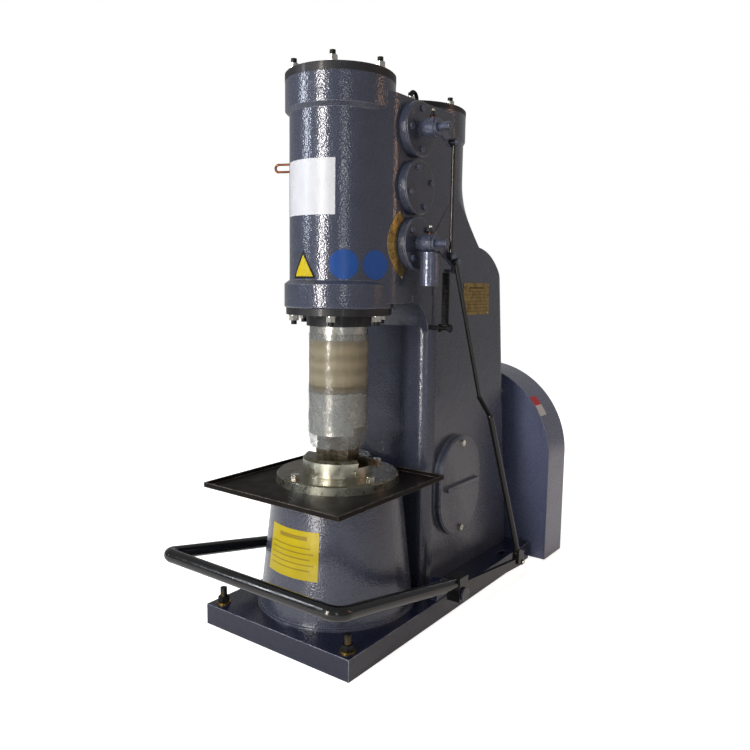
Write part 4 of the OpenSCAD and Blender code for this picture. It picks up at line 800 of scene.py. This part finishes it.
@dataclass
class Studio:
    """The plain white studio: floor, lamps, world and the camera at the photograph's place.

    The floor's glow rises from near_glow to full white between the two distances of fade_m from the
    machine's foot, so that the shadow shows. The world lights the machine at the ambient level and
    shows in its gloss at in_gloss.
    """

    eye_mm: tuple[float, float, float] = (1643.4, -2021.7, 1245.6)
    yaw: float = 36.20
    pitch: float = 7.24
    roll: float = 0.80
    lens_mm: float = 34.74
    sensor_mm: float = 36.0
    target_m: tuple[float, float, float] = (0.0, 0.4, 1.05)
    floor_m: float = 30.0
    floor_tone: str = "#e4e4e4"
    foot_m: tuple[float, float, float] = (0.0, 0.35, 0.0)
    fade_m: Span = (0.9, 2.6)
    near_glow: float = 0.78
    ambient: float = 0.11
    in_gloss: float = 0.2

    def camera(self) -> None:
        """Makes the camera first, at the photograph's viewing angle."""
        yaw, pitch, roll = (math.radians(a) for a in (self.yaw, self.pitch, self.roll))
        ahead = Vector((-math.sin(yaw) * math.cos(pitch), math.cos(yaw) * math.cos(pitch),
                        -math.sin(pitch)))
        right = Vector((math.cos(yaw), math.sin(yaw), 0))
        upward = right.cross(ahead)
        side = right * math.cos(roll) + upward * math.sin(roll)
        top = upward * math.cos(roll) - right * math.sin(roll)
        data = bpy.data.cameras.new("photo_camera")
        data.lens, data.sensor_width = self.lens_mm, self.sensor_mm
        camera = bpy.data.objects.new("photo_camera", data)
        bpy.context.scene.collection.objects.link(camera)
        turn = Matrix((side, top, -ahead)).transposed().to_4x4()
        camera.matrix_world = Matrix.Translation(Vector(self.eye_mm) * MM) @ turn
        bpy.context.scene.camera = camera

    def background(self, tree: Tree) -> Node:
        """Gives 1 for what the eye sees and what film lets through, less in gloss, else 0.

        Args:
            tree: The node tree of the world or the floor.

        Returns:
            The node whose Value says how much of the white background a ray sees.
        """
        path = add(tree, "ShaderNodeLightPath")
        through = add(tree, "ShaderNodeMath", {0: (path, "Is Camera Ray"),
                      1: (path, "Is Transmission Ray")}, operation="MAXIMUM")
        gloss = add(tree, "ShaderNodeMath", {0: (path, "Is Glossy Ray"), 1: self.in_gloss},
                    operation="MULTIPLY")
        return add(tree, "ShaderNodeMath", {0: (through, "Value"), 1: (gloss, "Value")},
                   operation="MAXIMUM")

    def world(self) -> None:
        """Makes the surroundings white to the eye, pale in gloss, and dim as a light."""
        world = bpy.data.worlds.new("white_studio")
        bpy.context.scene.world = world
        world.use_nodes = True
        tree = world.node_tree
        tree.nodes.clear()
        level = add(tree, "ShaderNodeMapRange", {"Value": (self.background(tree), "Value"),
                    "To Min": self.ambient, "To Max": 1.0})
        back = add(tree, "ShaderNodeBackground", {"Color": linear("#ffffff"),
                   "Strength": (level, "Result")})
        add(tree, "ShaderNodeOutputWorld", {"Surface": (back, "Background")})

    def floor(self) -> None:
        """Lays a pale floor that shows white and keeps the machine's shadow."""
        mesh = bmesh.new()
        bmesh.ops.create_grid(mesh, x_segments=2, y_segments=2, size=self.floor_m / 2)
        floor = linked(mesh, "studio_floor")
        material, tree = new_material("studio_floor_white")
        seen = self.background(tree)
        place = add(tree, "ShaderNodeTexCoord")
        away = add(tree, "ShaderNodeVectorMath", {0: (place, "Object"), 1: self.foot_m},
                   operation="DISTANCE")
        fade = add(tree, "ShaderNodeMapRange", {"Value": (away, "Value"),
                   "From Min": self.fade_m[0], "From Max": self.fade_m[1],
                   "To Min": self.near_glow, "To Max": 1.0})
        lift = add(tree, "ShaderNodeMath", {0: (fade, "Result"), 1: (seen, "Value")},
                   operation="MULTIPLY")
        paint = add(tree, "ShaderNodeBsdfDiffuse", {"Color": linear(self.floor_tone)})
        glow = add(tree, "ShaderNodeEmission", {"Color": linear("#ffffff"),
                   "Strength": (lift, "Value")})
        both = add(tree, "ShaderNodeAddShader", {0: (paint, "BSDF"), 1: (glow, "Emission")})
        add(tree, "ShaderNodeOutputMaterial", {"Surface": (both, "Shader")})
        floor.data.materials.append(material)

    def build(self) -> None:
        """Builds the camera, the floor, the world and the lamps."""
        bpy.context.scene.view_settings.view_transform = "Standard"
        self.camera()
        self.floor()
        self.world()
        for lamp in LAMPS:
            lamp.hang(Vector(self.target_m))


@dataclass
class FrameDress:
    """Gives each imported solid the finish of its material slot, or one of its own.

    The painted screws of the valve covers stand outside screw_x and above screw_z, and the yellow
    washers of the anchor studs end at washer_top, all in metres. The whole machine is nearer than
    far.
    """

    screw_x: float = 0.2
    screw_z: float = 1.2
    washer_top: float = 0.0835
    far: float = 9.0

    def build(self) -> None:
        """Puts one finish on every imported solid, and a second on two groups of bolts."""
        slots = {s["node"]: Slot(s["material_slot"]) for s in frame["record"]["subparts"]}
        for node, piece in frame["nodes"].items():
            finish = NODE_FINISH.get(node) or SLOT_FINISH[slots[node]]
            piece.data.materials.clear()
            piece.data.materials.append(finish.material())
        self.paint_where(frame["nodes"]["hex_bolts"], LEVER_ENAMEL,
                         Vector((self.screw_x, -self.far, self.screw_z)),
                         Vector((self.far, self.far, self.far)))
        self.paint_where(frame["nodes"]["anchor_bolts"], YELLOW_ZINC,
                         Vector((-self.far, -self.far, 0)),
                         Vector((self.far, self.far, self.washer_top)))

    def paint_where(self, piece: Piece, finish: Finish, low: Vector, high: Vector) -> None:
        """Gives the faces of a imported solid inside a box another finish.

        Args:
            piece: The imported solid.
            finish: The finish of the faces inside the box.
            low: The box's lowest corner in metres.
            high: The box's highest corner.
        """
        piece.data.materials.append(finish.material())
        for face in piece.data.polygons:
            at = piece.matrix_world @ face.center
            if all(a < c < b for a, c, b in zip(low, at, high)):
                face.material_index = len(piece.data.materials) - 1


@dataclass(frozen=True)
class Crumple:
    """How a thin wall crumples, in millimetres.

    The ripple is how far it reaches outwards, the wave is its width, ragged is how far the lowest
    row wanders up and down, the fold is the depth of the long upright pleats, and the seed says
    where the crumpling is taken from.
    """

    ripple: float
    wave: float
    seed: float
    ragged: float = 0.0
    fold: float = 0.0


@dataclass
class RamWrap:
    """Tape and clear film wound round the ram, and the sleeve of film that hangs below them.

    Sizes are in millimetres. The fractal holds the crumpling's falloff, the step from octave to
    octave and their number, and sway is how far the pleats wander. Keep is not used.
    """

    tape_r: float = 106.2
    tape: Span = (876.0, 1046.0)
    tape_rows: int = 26
    tape_crumple: Crumple = Crumple(ripple=0.8, wave=30.0, seed=4.0)
    band_bottom: float = 856.0
    band_lap: float = 8.0
    band_lift: float = 0.3
    band_rows: int = 8
    band_crumple: Crumple = Crumple(ripple=1.1, wave=12.0, seed=9.0, ragged=7.0)
    film_r: float = 107.6
    film: Span = (656.0, 1067.0)
    film_rows: int = 64
    film_crumple: Crumple = Crumple(ripple=1.1, wave=30.0, seed=17.0, ragged=7.0, fold=1.6)
    hem_r: float = 96.0
    waist: float = 712.0
    flare: float = 0.6
    around: int = 144
    pleats: int = 9
    pleat_drop: float = 200.0
    sway: float = 2.5
    sway_per_m: float = 9.0
    rags: float = 5.0
    fractal: tuple[float, float, int] = (0.8, 2.0, 4)
    keep: float = 0.325

    def tube(self, rows: list[Span], how: Crumple) -> Shape:
        """Turns a thin wall and crumples it.

        Args:
            rows: The wall as (radius, height) points in millimetres.
            how: How it crumples.

        Returns:
            The crumpled wall.
        """
        mesh = turned(rows, self.around)
        low = min(v.co.z for v in mesh.verts)
        for vert in mesh.verts:
            angle = math.atan2(vert.co.y, vert.co.x)
            away = Vector((math.cos(angle), math.sin(angle), 0))
            at = vert.co / (how.wave * MM) + Vector((how.seed, how.seed * 0.7, 0))
            crumple = noise.fractal(at, *self.fractal)
            drop = max(0.0, (self.band_bottom * MM - vert.co.z) / (self.pleat_drop * MM))
            sway = self.sway * noise.noise(Vector((0, how.seed, vert.co.z * self.sway_per_m)))
            pleat = math.sin(angle * self.pleats + how.seed + sway)
            push = how.ripple * (0.5 + crumple) + how.fold * min(1.0, drop) * (0.5 + 0.5 * pleat)
            vert.co += away * max(0.0, push) * MM
            if how.ragged and vert.co.z < low + MERGE_GAP:
                vert.co.z += how.ragged * MM * noise.noise(Vector((angle * self.rags, how.seed, 3)))
        return mesh

    def wall(self, span: Span, count: int, r: float) -> list[Span]:
        """Gives an upright wall's rows, evenly spread over its height, as (radius, height) points."""
        return [(r, between(span, i / count)) for i in range(count + 1)]

    def film_wall(self) -> list[Span]:
        """Gives the film's rows: it hangs straight down to the waist and draws in to the hem.

        Returns:
            Its (radius, height) points in millimetres.
        """
        rows = []
        for _, z in self.wall(self.film, self.film_rows, self.film_r):
            share = min(1.0, max(0.0, (z - self.film[0]) / (self.waist - self.film[0])))
            rows.append((between((self.hem_r, self.film_r), share ** self.flare), z))
        return rows

    def build(self) -> None:
        """Builds the tape, the brown band and the film, which ride on the ram."""
        tape = self.tube(self.wall(self.tape, self.tape_rows, self.tape_r), self.tape_crumple)
        fawn = finished(tape, "paper_tape_wrap", PAPER_TAPE, Body.RAM)
        band_span = (self.band_bottom, self.tape[0] + self.band_lap)
        band = self.tube(self.wall(band_span, self.band_rows, self.tape_r + self.band_lift),
                         self.band_crumple)
        brown = finished(band, "paper_tape_edge", BROWN_TAPE, Body.RAM)
        sleeve = finished(self.tube(self.film_wall(), self.film_crumple), "film_wrap", CLEAR_FILM,
                          Body.RAM)
        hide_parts("paper_wrap")
        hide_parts("film_sleeve")
        for piece in (fawn, brown, sleeve):
            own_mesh(piece)


@dataclass
class ChestSkin:
    """The walk round the barrel and on over the slope and the bend to the chest's flat side.

    It leaves the barrel at leave_deg from +X. Sizes are in millimetres and the bend is in degrees.
    """

    barrel_r: float = 176.0
    leave_deg: float = -14.6
    chest_half: float = 204.0
    flat_y: float = 65.0
    bend_r: float = 100.0
    bend: float = 20.0

    def slope_x(self, y: float) -> float:
        """Gives the chest's half width.

        Args:
            y: Distance behind the ram's axis in millimetres.

        Returns:
            The half width there in millimetres.
        """
        turn = math.radians(self.bend)
        end_x = self.chest_half - self.bend_r * (1 - math.cos(turn))
        end_y = self.flat_y - self.bend_r * math.sin(turn)
        if y >= self.flat_y:
            return self.chest_half
        if y >= end_y:
            return (self.chest_half - self.bend_r
                    + math.sqrt(self.bend_r ** 2 - (self.flat_y - y) ** 2))
        return end_x - (end_y - y) * math.tan(turn)

    def lean(self, y: float) -> float:
        """Gives the angle in radians by which the chest's side turns forwards at that place."""
        return min(math.radians(self.bend),
                   math.asin(min(1.0, max(0.0, (self.flat_y - y) / self.bend_r))))

    def point(self, along: float, lift: float) -> Span:
        """Gives a place on the skin.

        Args:
            along: Way round the barrel from its front, in millimetres.
            lift: Distance out from the skin in millimetres.

        Returns:
            The place's x and y in millimetres.
        """
        angle = along / self.barrel_r - math.pi / 2
        leave = math.radians(self.leave_deg)
        if angle <= leave:
            r = self.barrel_r + lift
            return r * math.cos(angle), r * math.sin(angle)
        past = (angle - leave) * self.barrel_r
        y = self.barrel_r * math.sin(leave) + past * math.cos(math.radians(self.bend))
        lean = self.lean(y)
        return self.slope_x(y) + lift * math.cos(lean), y - lift * math.sin(lean)


@dataclass
class Placards:
    """Blank printed vinyl patches on the barrel, the anvil and the guard.

    A patch's place is a span of angles in degrees and a span of heights in millimetres. The cone's
    foot and top are each a radius and a height, and cells are a patch's divisions across and up.
    """

    barrel_r: float = 176.0
    proud: float = 0.5
    thick: float = 0.3
    white_place: tuple[Span, Span] = ((-128.0, -56.0), (1468.0, 1650.0))
    triangle_deg: float = -94.5
    triangle_low: float = 1258.0
    triangle_side: float = 108.0
    triangle_border: float = 7.0
    print_lift: float = 0.25
    disc_deg: Span = (-46.0, -8.0)
    disc_z: float = 1306.0
    disc_r: float = 50.0
    disc_points: int = 40
    cuts_deg: tuple[int, int, int] = (-150, 60, 3)
    cone_foot: Span = (284.0, 83.0)
    cone_top: Span = (235.0, 524.0)
    cone_cells: tuple[int, int] = (24, 4)
    anvil_place: tuple[Span, Span] = ((-115.0, -65.0), (238.0, 404.0))
    heading_place: tuple[Span, Span] = ((-103.0, -75.0), (372.0, 386.0))
    rule_start: float = -111.0
    rule_ends: Span = (-72.0, -69.0)
    rule_low: float = 268.0
    rule_gap: float = 19.0
    rule_wide: float = 4.5
    rules: int = 5
    ink_lift: float = 0.35
    guard_r: float = 402.0
    guard_z: float = 470.0
    guard_y: Span = (1006.0, 1070.0)
    guard_cells: tuple[int, int] = (12, 3)
    red_deg: Span = (36.0, 42.5)
    pale_deg: Span = (28.5, 36.0)
    skin: ChestSkin = field(default_factory=ChestSkin)

    def on_barrel(self, name: str, outline: list[Span], finish: Finish, lift: float = 0.0) -> Piece:
        """Wraps a flat outline round the barrel and on over the chest's slope.

        Args:
            name: The patch's name.
            outline: Its corners as (angle in degrees, height in mm).
            finish: Its vinyl.
            lift: Extra distance from the barrel in millimetres.

        Returns:
            The patch.
        """
        mesh = bmesh.new()
        mesh.faces.new([mesh.verts.new((a, 0, z)) for a, z in outline])
        for cut in range(*self.cuts_deg):
            bmesh.ops.bisect_plane(mesh, geom=mesh.verts[:] + mesh.edges[:] + mesh.faces[:],
                                   plane_co=(cut, 0, 0), plane_no=(1, 0, 0))
        for vert in mesh.verts:
            along = math.radians(vert.co.x + 90) * self.barrel_r
            x, y = self.skin.point(along, self.proud + lift)
            vert.co = Vector((x, y, vert.co.z)) * MM
        return self.thickened(mesh, name, finish)

    def thickened(self, mesh: Shape, name: str, finish: Finish) -> Piece:
        """Gives a patch its thickness and fixes it to the frame.

        Args:
            mesh: The patch's outer face.
            name: The patch's name.
            finish: Its vinyl.

        Returns:
            The patch.
        """
        bmesh.ops.recalc_face_normals(mesh, faces=mesh.faces[:])
        level = Vector((1, 1, 0))
        outward = sum(face.normal.dot(face.calc_center_median() * level) for face in mesh.faces)
        if outward < 0:
            bmesh.ops.reverse_faces(mesh, faces=mesh.faces[:])
        bmesh.ops.solidify(mesh, geom=mesh.faces[:], thickness=self.thick * MM)
        return finished(mesh, name, finish, Body.FRAME)

    def rectangle(self, place: tuple[Span, Span]) -> list[Span]:
        """Gives the four corners of a place on the barrel, in its own units."""
        (left, right), (low, high) = place
        return [(left, low), (right, low), (right, high), (left, high)]

    def disc(self, angle: float) -> list[Span]:
        """Gives the round outline on the barrel about an angle.

        Args:
            angle: The angle of its middle in degrees.

        Returns:
            Its corners as (angle in degrees, height in mm).
        """
        wide = math.degrees(self.disc_r / self.barrel_r)
        turns = [k * math.tau / self.disc_points for k in range(self.disc_points)]
        return [(angle + wide * math.cos(t), self.disc_z + self.disc_r * math.sin(t)) for t in turns]

    def triangle(self, inset: float) -> list[Span]:
        """Gives the triangle's outline on the barrel, with its point up.

        Args:
            inset: How far it is drawn in from the printed border, in millimetres.

        Returns:
            Its corners as (angle in degrees, height in mm).
        """
        half = math.degrees((self.triangle_side / 2 - inset * 2 * EVEN_TRIANGLE) / self.barrel_r)
        tip = self.triangle_low + self.triangle_side * EVEN_TRIANGLE - 2 * inset
        foot = self.triangle_low + inset
        return [(self.triangle_deg - half, foot), (self.triangle_deg + half, foot),
                (self.triangle_deg, tip)]

    def on_cone(self, name: str, place: tuple[Span, Span], finish: Finish,
                lift: float = 0.0) -> Piece:
        """Lays a rectangle on the anvil's cone.

        Args:
            name: The patch's name.
            place: Its angles and its heights.
            finish: Its vinyl.
            lift: Extra distance from the cone in millimetres.

        Returns:
            The patch.
        """
        mesh = bmesh.new()
        bmesh.ops.create_grid(mesh, x_segments=self.cone_cells[0],
                              y_segments=self.cone_cells[1], size=0.5)
        slope = (self.cone_top[0] - self.cone_foot[0]) / (self.cone_top[1] - self.cone_foot[1])
        for vert in mesh.verts:
            angle = math.radians(between(place[0], vert.co.x + 0.5))
            z = between(place[1], vert.co.y + 0.5)
            radius = self.cone_foot[0] + slope * (z - self.cone_foot[1]) + self.proud + lift
            vert.co = Vector((radius * math.cos(angle), radius * math.sin(angle), z)) * MM
        return self.thickened(mesh, name, finish)

    def on_guard(self, name: str, angles: Span, finish: Finish) -> Piece:
        """Lays a rectangle on the guard's round rim.

        Args:
            name: The patch's name.
            angles: Its angles above the arch's centre.
            finish: Its vinyl.

        Returns:
            The patch.
        """
        mesh = bmesh.new()
        bmesh.ops.create_grid(mesh, x_segments=self.guard_cells[0],
                              y_segments=self.guard_cells[1], size=0.5)
        radius = self.guard_r + self.proud
        for vert in mesh.verts:
            angle = math.radians(between(angles, vert.co.x + 0.5))
            vert.co = Vector((radius * math.cos(angle), between(self.guard_y, vert.co.y + 0.5),
                              self.guard_z + radius * math.sin(angle))) * MM
        return self.thickened(mesh, name, finish)

    def build(self) -> None:
        """Sticks on every patch, all blank."""
        self.on_barrel("barrel_placard", self.rectangle(self.white_place), WHITE_VINYL)
        self.on_barrel("barrel_triangle_edge", self.triangle(0.0), BLACK_PAINT)
        self.on_barrel("barrel_triangle", self.triangle(self.triangle_border), YELLOW_VINYL,
                       lift=self.print_lift)
        self.on_barrel("barrel_disc_front", self.disc(self.disc_deg[0]), BLUE_VINYL)
        self.on_barrel("barrel_disc_side", self.disc(self.disc_deg[1]), BLUE_VINYL)
        self.on_cone("anvil_placard", self.anvil_place, YELLOW_VINYL)
        for i in range(self.rules):
            low = self.rule_low + i * self.rule_gap
            place = ((self.rule_start, self.rule_ends[i % 2]), (low, low + self.rule_wide))
            self.on_cone(f"anvil_rule_{i}", place, RULE_INK, self.ink_lift)
        self.on_cone("anvil_heading", self.heading_place, RULE_INK, self.ink_lift)
        self.on_guard("guard_placard_red", self.red_deg, RED_VINYL)
        self.on_guard("guard_placard_white", self.pale_deg, WHITE_VINYL)


@dataclass
class BrassDetail:
    """Etched ticks on the arc scale, ruled lines on the data plate, and their rivets.

    The scale runs from first to last, in degrees about its axis, and wall_foot and wall_top are the
    half width and the height of the column's side at both ends. Sizes are in millimetres.
    """

    axis_y: float = 160.0
    axis_z: float = 1385.0
    skin: ChestSkin = field(default_factory=ChestSkin)
    inner: float = 101.0
    outer: float = 140.0
    rim: float = 2.5
    first: float = 127.0
    last: float = 244.0
    ticks: int = 10
    tick_margin: float = 0.12
    tick_parts: int = 4
    tick_wide: float = 1.4
    tick_proud: float = 1.35
    plate_y: Span = (523.0, 737.0)
    plate_z: Span = (1123.0, 1251.0)
    rules: int = 7
    rule_low: float = 14.0
    rule_gap: float = 13.5
    rule_short: float = 34.0
    rule_wide: float = 1.6
    heading_short: float = 90.0
    heading_wide: float = 5.0
    rule_proud: float = 1.45
    line_thick: float = 0.3
    wall_foot: Span = (226.0, 75.0)
    wall_top: Span = (204.0, 1880.0)
    rivet_r: float = 3.2
    rivet_flat: float = 0.45
    rivet_in: float = 8.0
    rivet_proud: float = 1.3
    arc_rivet_r: float = 134.0
    arc_rivet_in: float = 3.0

    def wall(self, z: float) -> float:
        """Gives the column's half width at a height, in millimetres."""
        share = (z - self.wall_foot[1]) / (self.wall_top[1] - self.wall_foot[1])
        return between((self.wall_foot[0], self.wall_top[0]), share)

    def bar(self, mesh: Shape, long: float, wide: float, place: Matrix) -> None:
        """Adds an etched line to a shape.

        Args:
            mesh: The shape.
            long: The line's length in millimetres.
            wide: The line's width in millimetres.
            place: Where it goes, in millimetres.
        """
        made = bmesh.ops.create_cube(mesh, size=1.0)["verts"]
        bmesh.ops.scale(mesh, vec=(self.line_thick, long, wide), verts=made)
        bmesh.ops.transform(mesh, matrix=Matrix.Scale(MM, 4) @ place, verts=made)

    def rivet(self, mesh: Shape, x: float, y: float, z: float) -> None:
        """Adds a low round rivet head on the right side.

        Args:
            mesh: The shape that it is added to.
            x: Its distance from the middle plane in millimetres.
            y: Its distance behind the ram's axis.
            z: Its height.
        """
        made = bmesh.ops.create_uvsphere(mesh, u_segments=16, v_segments=8,
                                         radius=self.rivet_r)["verts"]
        bmesh.ops.scale(mesh, vec=(self.rivet_flat, 1, 1), verts=made)
        bmesh.ops.translate(mesh, vec=(x, y, z), verts=made)
        bmesh.ops.scale(mesh, vec=(MM, MM, MM), verts=made)

    def scale_ticks(self, mesh: Shape) -> None:
        """Etches the ticks of the arc scale, each in short parts that follow the chest's bend.

        Args:
            mesh: The shape that they are added to.
        """
        long = (self.outer - self.inner - 2 * self.rim) / self.tick_parts
        for i in range(self.ticks):
            share = (i + self.tick_margin) / (self.ticks - 1 + 2 * self.tick_margin)
            angle = math.radians(between((self.first, self.last), share))
            for part in range(self.tick_parts):
                mid = self.inner + self.rim + long * (part + 0.5)
                y = self.axis_y + mid * math.cos(angle)
                lean = self.skin.lean(y)
                at = Matrix.Translation((self.skin.slope_x(y) + self.tick_proud * math.cos(lean),
                                         y - self.tick_proud * math.sin(lean),
                                         self.axis_z + mid * math.sin(angle)))
                self.bar(mesh, long, self.tick_wide,
                         at @ Matrix.Rotation(-lean, 4, "Z") @ Matrix.Rotation(angle, 4, "X"))

    def plate_rules(self, mesh: Shape) -> None:
        """Etches the data plate's ruled lines and, above them, a short thick one.

        Args:
            mesh: The shape that they are added to.
        """
        high = self.wall_top[1] - self.wall_foot[1]
        lean = Matrix.Rotation(-math.atan((self.wall_foot[0] - self.wall_top[0]) / high), 4, "Y")
        room = self.plate_y[1] - self.plate_y[0]
        lines = [(self.rule_short, self.rule_wide)] * self.rules
        for i, (short, wide) in enumerate(lines + [(self.heading_short, self.heading_wide)]):
            z = self.plate_z[0] + self.rule_low + i * self.rule_gap
            at = Matrix.Translation((self.wall(z) + self.rule_proud, sum(self.plate_y) / 2, z))
            self.bar(mesh, room - short, wide, at @ lean)

    def rivets(self, mesh: Shape) -> None:
        """Sets a rivet in each corner of the data plate and at each end of the arc scale.

        Args:
            mesh: The shape that they are added to.
        """
        for y in (self.plate_y[0] + self.rivet_in, self.plate_y[1] - self.rivet_in):
            for z in (self.plate_z[0] + self.rivet_in, self.plate_z[1] - self.rivet_in):
                self.rivet(mesh, self.wall(z) + self.rivet_proud, y, z)
        for angle in (self.first + self.arc_rivet_in, self.last - self.arc_rivet_in):
            turn = math.radians(angle)
            y = self.axis_y + self.arc_rivet_r * math.cos(turn)
            self.rivet(mesh, self.skin.slope_x(y) + self.tick_proud, y,
                       self.axis_z + self.arc_rivet_r * math.sin(turn))

    def build(self) -> None:
        """Builds the etched lines and the rivets of both plates."""
        lines = bmesh.new()
        self.scale_ticks(lines)
        self.plate_rules(lines)
        closed_outward(lines)
        finished(lines, "brass_plate_lines", ETCHED_LINE, Body.FRAME, smooth=False)
        heads = bmesh.new()
        self.rivets(heads)
        closed_outward(heads)
        finished(heads, "brass_plate_rivets", ZINC, Body.FRAME)


@dataclass(frozen=True)
class ScrewPart:
    """One piece of a set screw: its size and the height of its foot, in millimetres."""

    name: str
    sides: int
    r: float
    high: float
    low: float
    finish: Finish
    slot: Slot


SCREW_PARTS = (
    ScrewPart("washer", sides=32, r=11.0, high=3.0, low=0.0, finish=COPPER, slot=Slot.COPPER),
    ScrewPart("lock_nut", sides=6, r=9.5, high=7.0, low=3.0, finish=BLACK_STEEL,
              slot=Slot.BLACK_STEEL),
    ScrewPart("screw", sides=24, r=5.0, high=20.0, low=3.0, finish=BLACK_STEEL,
              slot=Slot.BLACK_STEEL),
    ScrewPart("head", sides=6, r=7.5, high=8.0, low=22.0, finish=ZINC, slot=Slot.ZINC),
)


@dataclass
class HubScrews:
    """Set screws with lock nuts and copper washers on top of the two lever hubs."""

    hub_x: float = 277.0
    hub_y: float = 160.0
    hub_r: float = 34.0
    sunk: float = 1.5
    rounding: float = 0.6
    heights: dict[Body, float] = field(default_factory=lambda: {
        Body.UPPER_VALVE: 1777.0, Body.LOWER_VALVE: 1385.0})

    def build(self) -> None:
        """Builds a washer, a lock nut, a screw and its head on each hub."""
        for body, axis_z in self.heights.items():
            base = axis_z + self.hub_r - self.sunk
            for part in SCREW_PARTS:
                mesh = prism(part.sides, part.r, part.high, self.rounding)
                at = Vector((self.hub_x, self.hub_y, base + part.low + part.high / 2)) * MM
                bmesh.ops.translate(mesh, vec=at, verts=mesh.verts[:])
                finished(mesh, f"{body.name.lower()}_{part.name}", part.finish, body)


@dataclass
class ReturnSpring:
    """Close-wound spring from the anchor stud to the lower lever."""

    axis_x: float = 270.0
    axis_y: float = 288.0
    low: float = 1094.0
    high: float = 1287.0
    coil_r: float = 13.0
    wire_r: float = 2.2
    wire_sides: int = 10
    turns: int = 30
    steps: int = 20

    def build(self) -> None:
        """Winds the wire with one spin, from the frame up to the lever."""
        mesh = bmesh.new()
        made = bmesh.ops.create_circle(mesh, cap_ends=False, segments=self.wire_sides,
                                       radius=self.wire_r * MM)
        start = Vector((self.axis_x + self.coil_r, self.axis_y, self.low)) * MM
        bmesh.ops.rotate(mesh, cent=(0, 0, 0), matrix=Matrix.Rotation(math.pi / 2, 3, "X"),
                         verts=made["verts"])
        bmesh.ops.translate(mesh, vec=start, verts=made["verts"])
        count = self.turns * self.steps
        rise = (self.high - self.low) * MM / count
        bmesh.ops.spin(mesh, geom=mesh.verts[:] + mesh.edges[:],
                       cent=Vector((self.axis_x, self.axis_y, 0)) * MM, axis=(0, 0, 1),
                       dvec=(0, 0, rise), angle=math.tau * self.turns, steps=count)
        bmesh.ops.holes_fill(mesh, edges=[e for e in mesh.edges if e.is_boundary], sides=0)
        bmesh.ops.recalc_face_normals(mesh, faces=mesh.faces[:])
        coil = linked(mesh, "return_spring_coil")
        coil.data.materials.append(BLACK_STEEL.material())
        coil.data.shade_smooth()
        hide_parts("return_spring")
        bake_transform(coil)


@dataclass
class ForkPin:
    """Bright hex head of the pin that joins the pull rod's fork to the treadle's rear eye."""

    place: tuple[float, float, float] = (410.0, 758.0, 72.0)
    r: float = 8.0
    high: float = 6.0
    sides: int = 6
    rounding: float = 0.8

    def build(self) -> None:
        """Builds the head with its rounded edges, turned to face the side."""
        mesh = prism(self.sides, self.r, self.high, self.rounding)
        bmesh.ops.rotate(mesh, cent=(0, 0, 0), matrix=Matrix.Rotation(math.pi / 2, 3, "Y"),
                         verts=mesh.verts[:])
        bmesh.ops.translate(mesh, vec=Vector(self.place) * MM, verts=mesh.verts[:])
        finished(mesh, "fork_pin_head", ZINC, Body.PULL)


def main() -> None:
    """Builds every part of the scene in order."""
    logging.basicConfig(level=logging.INFO, format="%(name)s: %(message)s")
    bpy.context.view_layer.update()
    for part in (Studio(), FrameDress(), RamWrap(), Placards(), BrassDetail(), HubScrews(),
                 ReturnSpring(), ForkPin()):
        part.build()
        LOG.info("%s built", type(part).__name__)


if __name__ == "__main__":
    main()
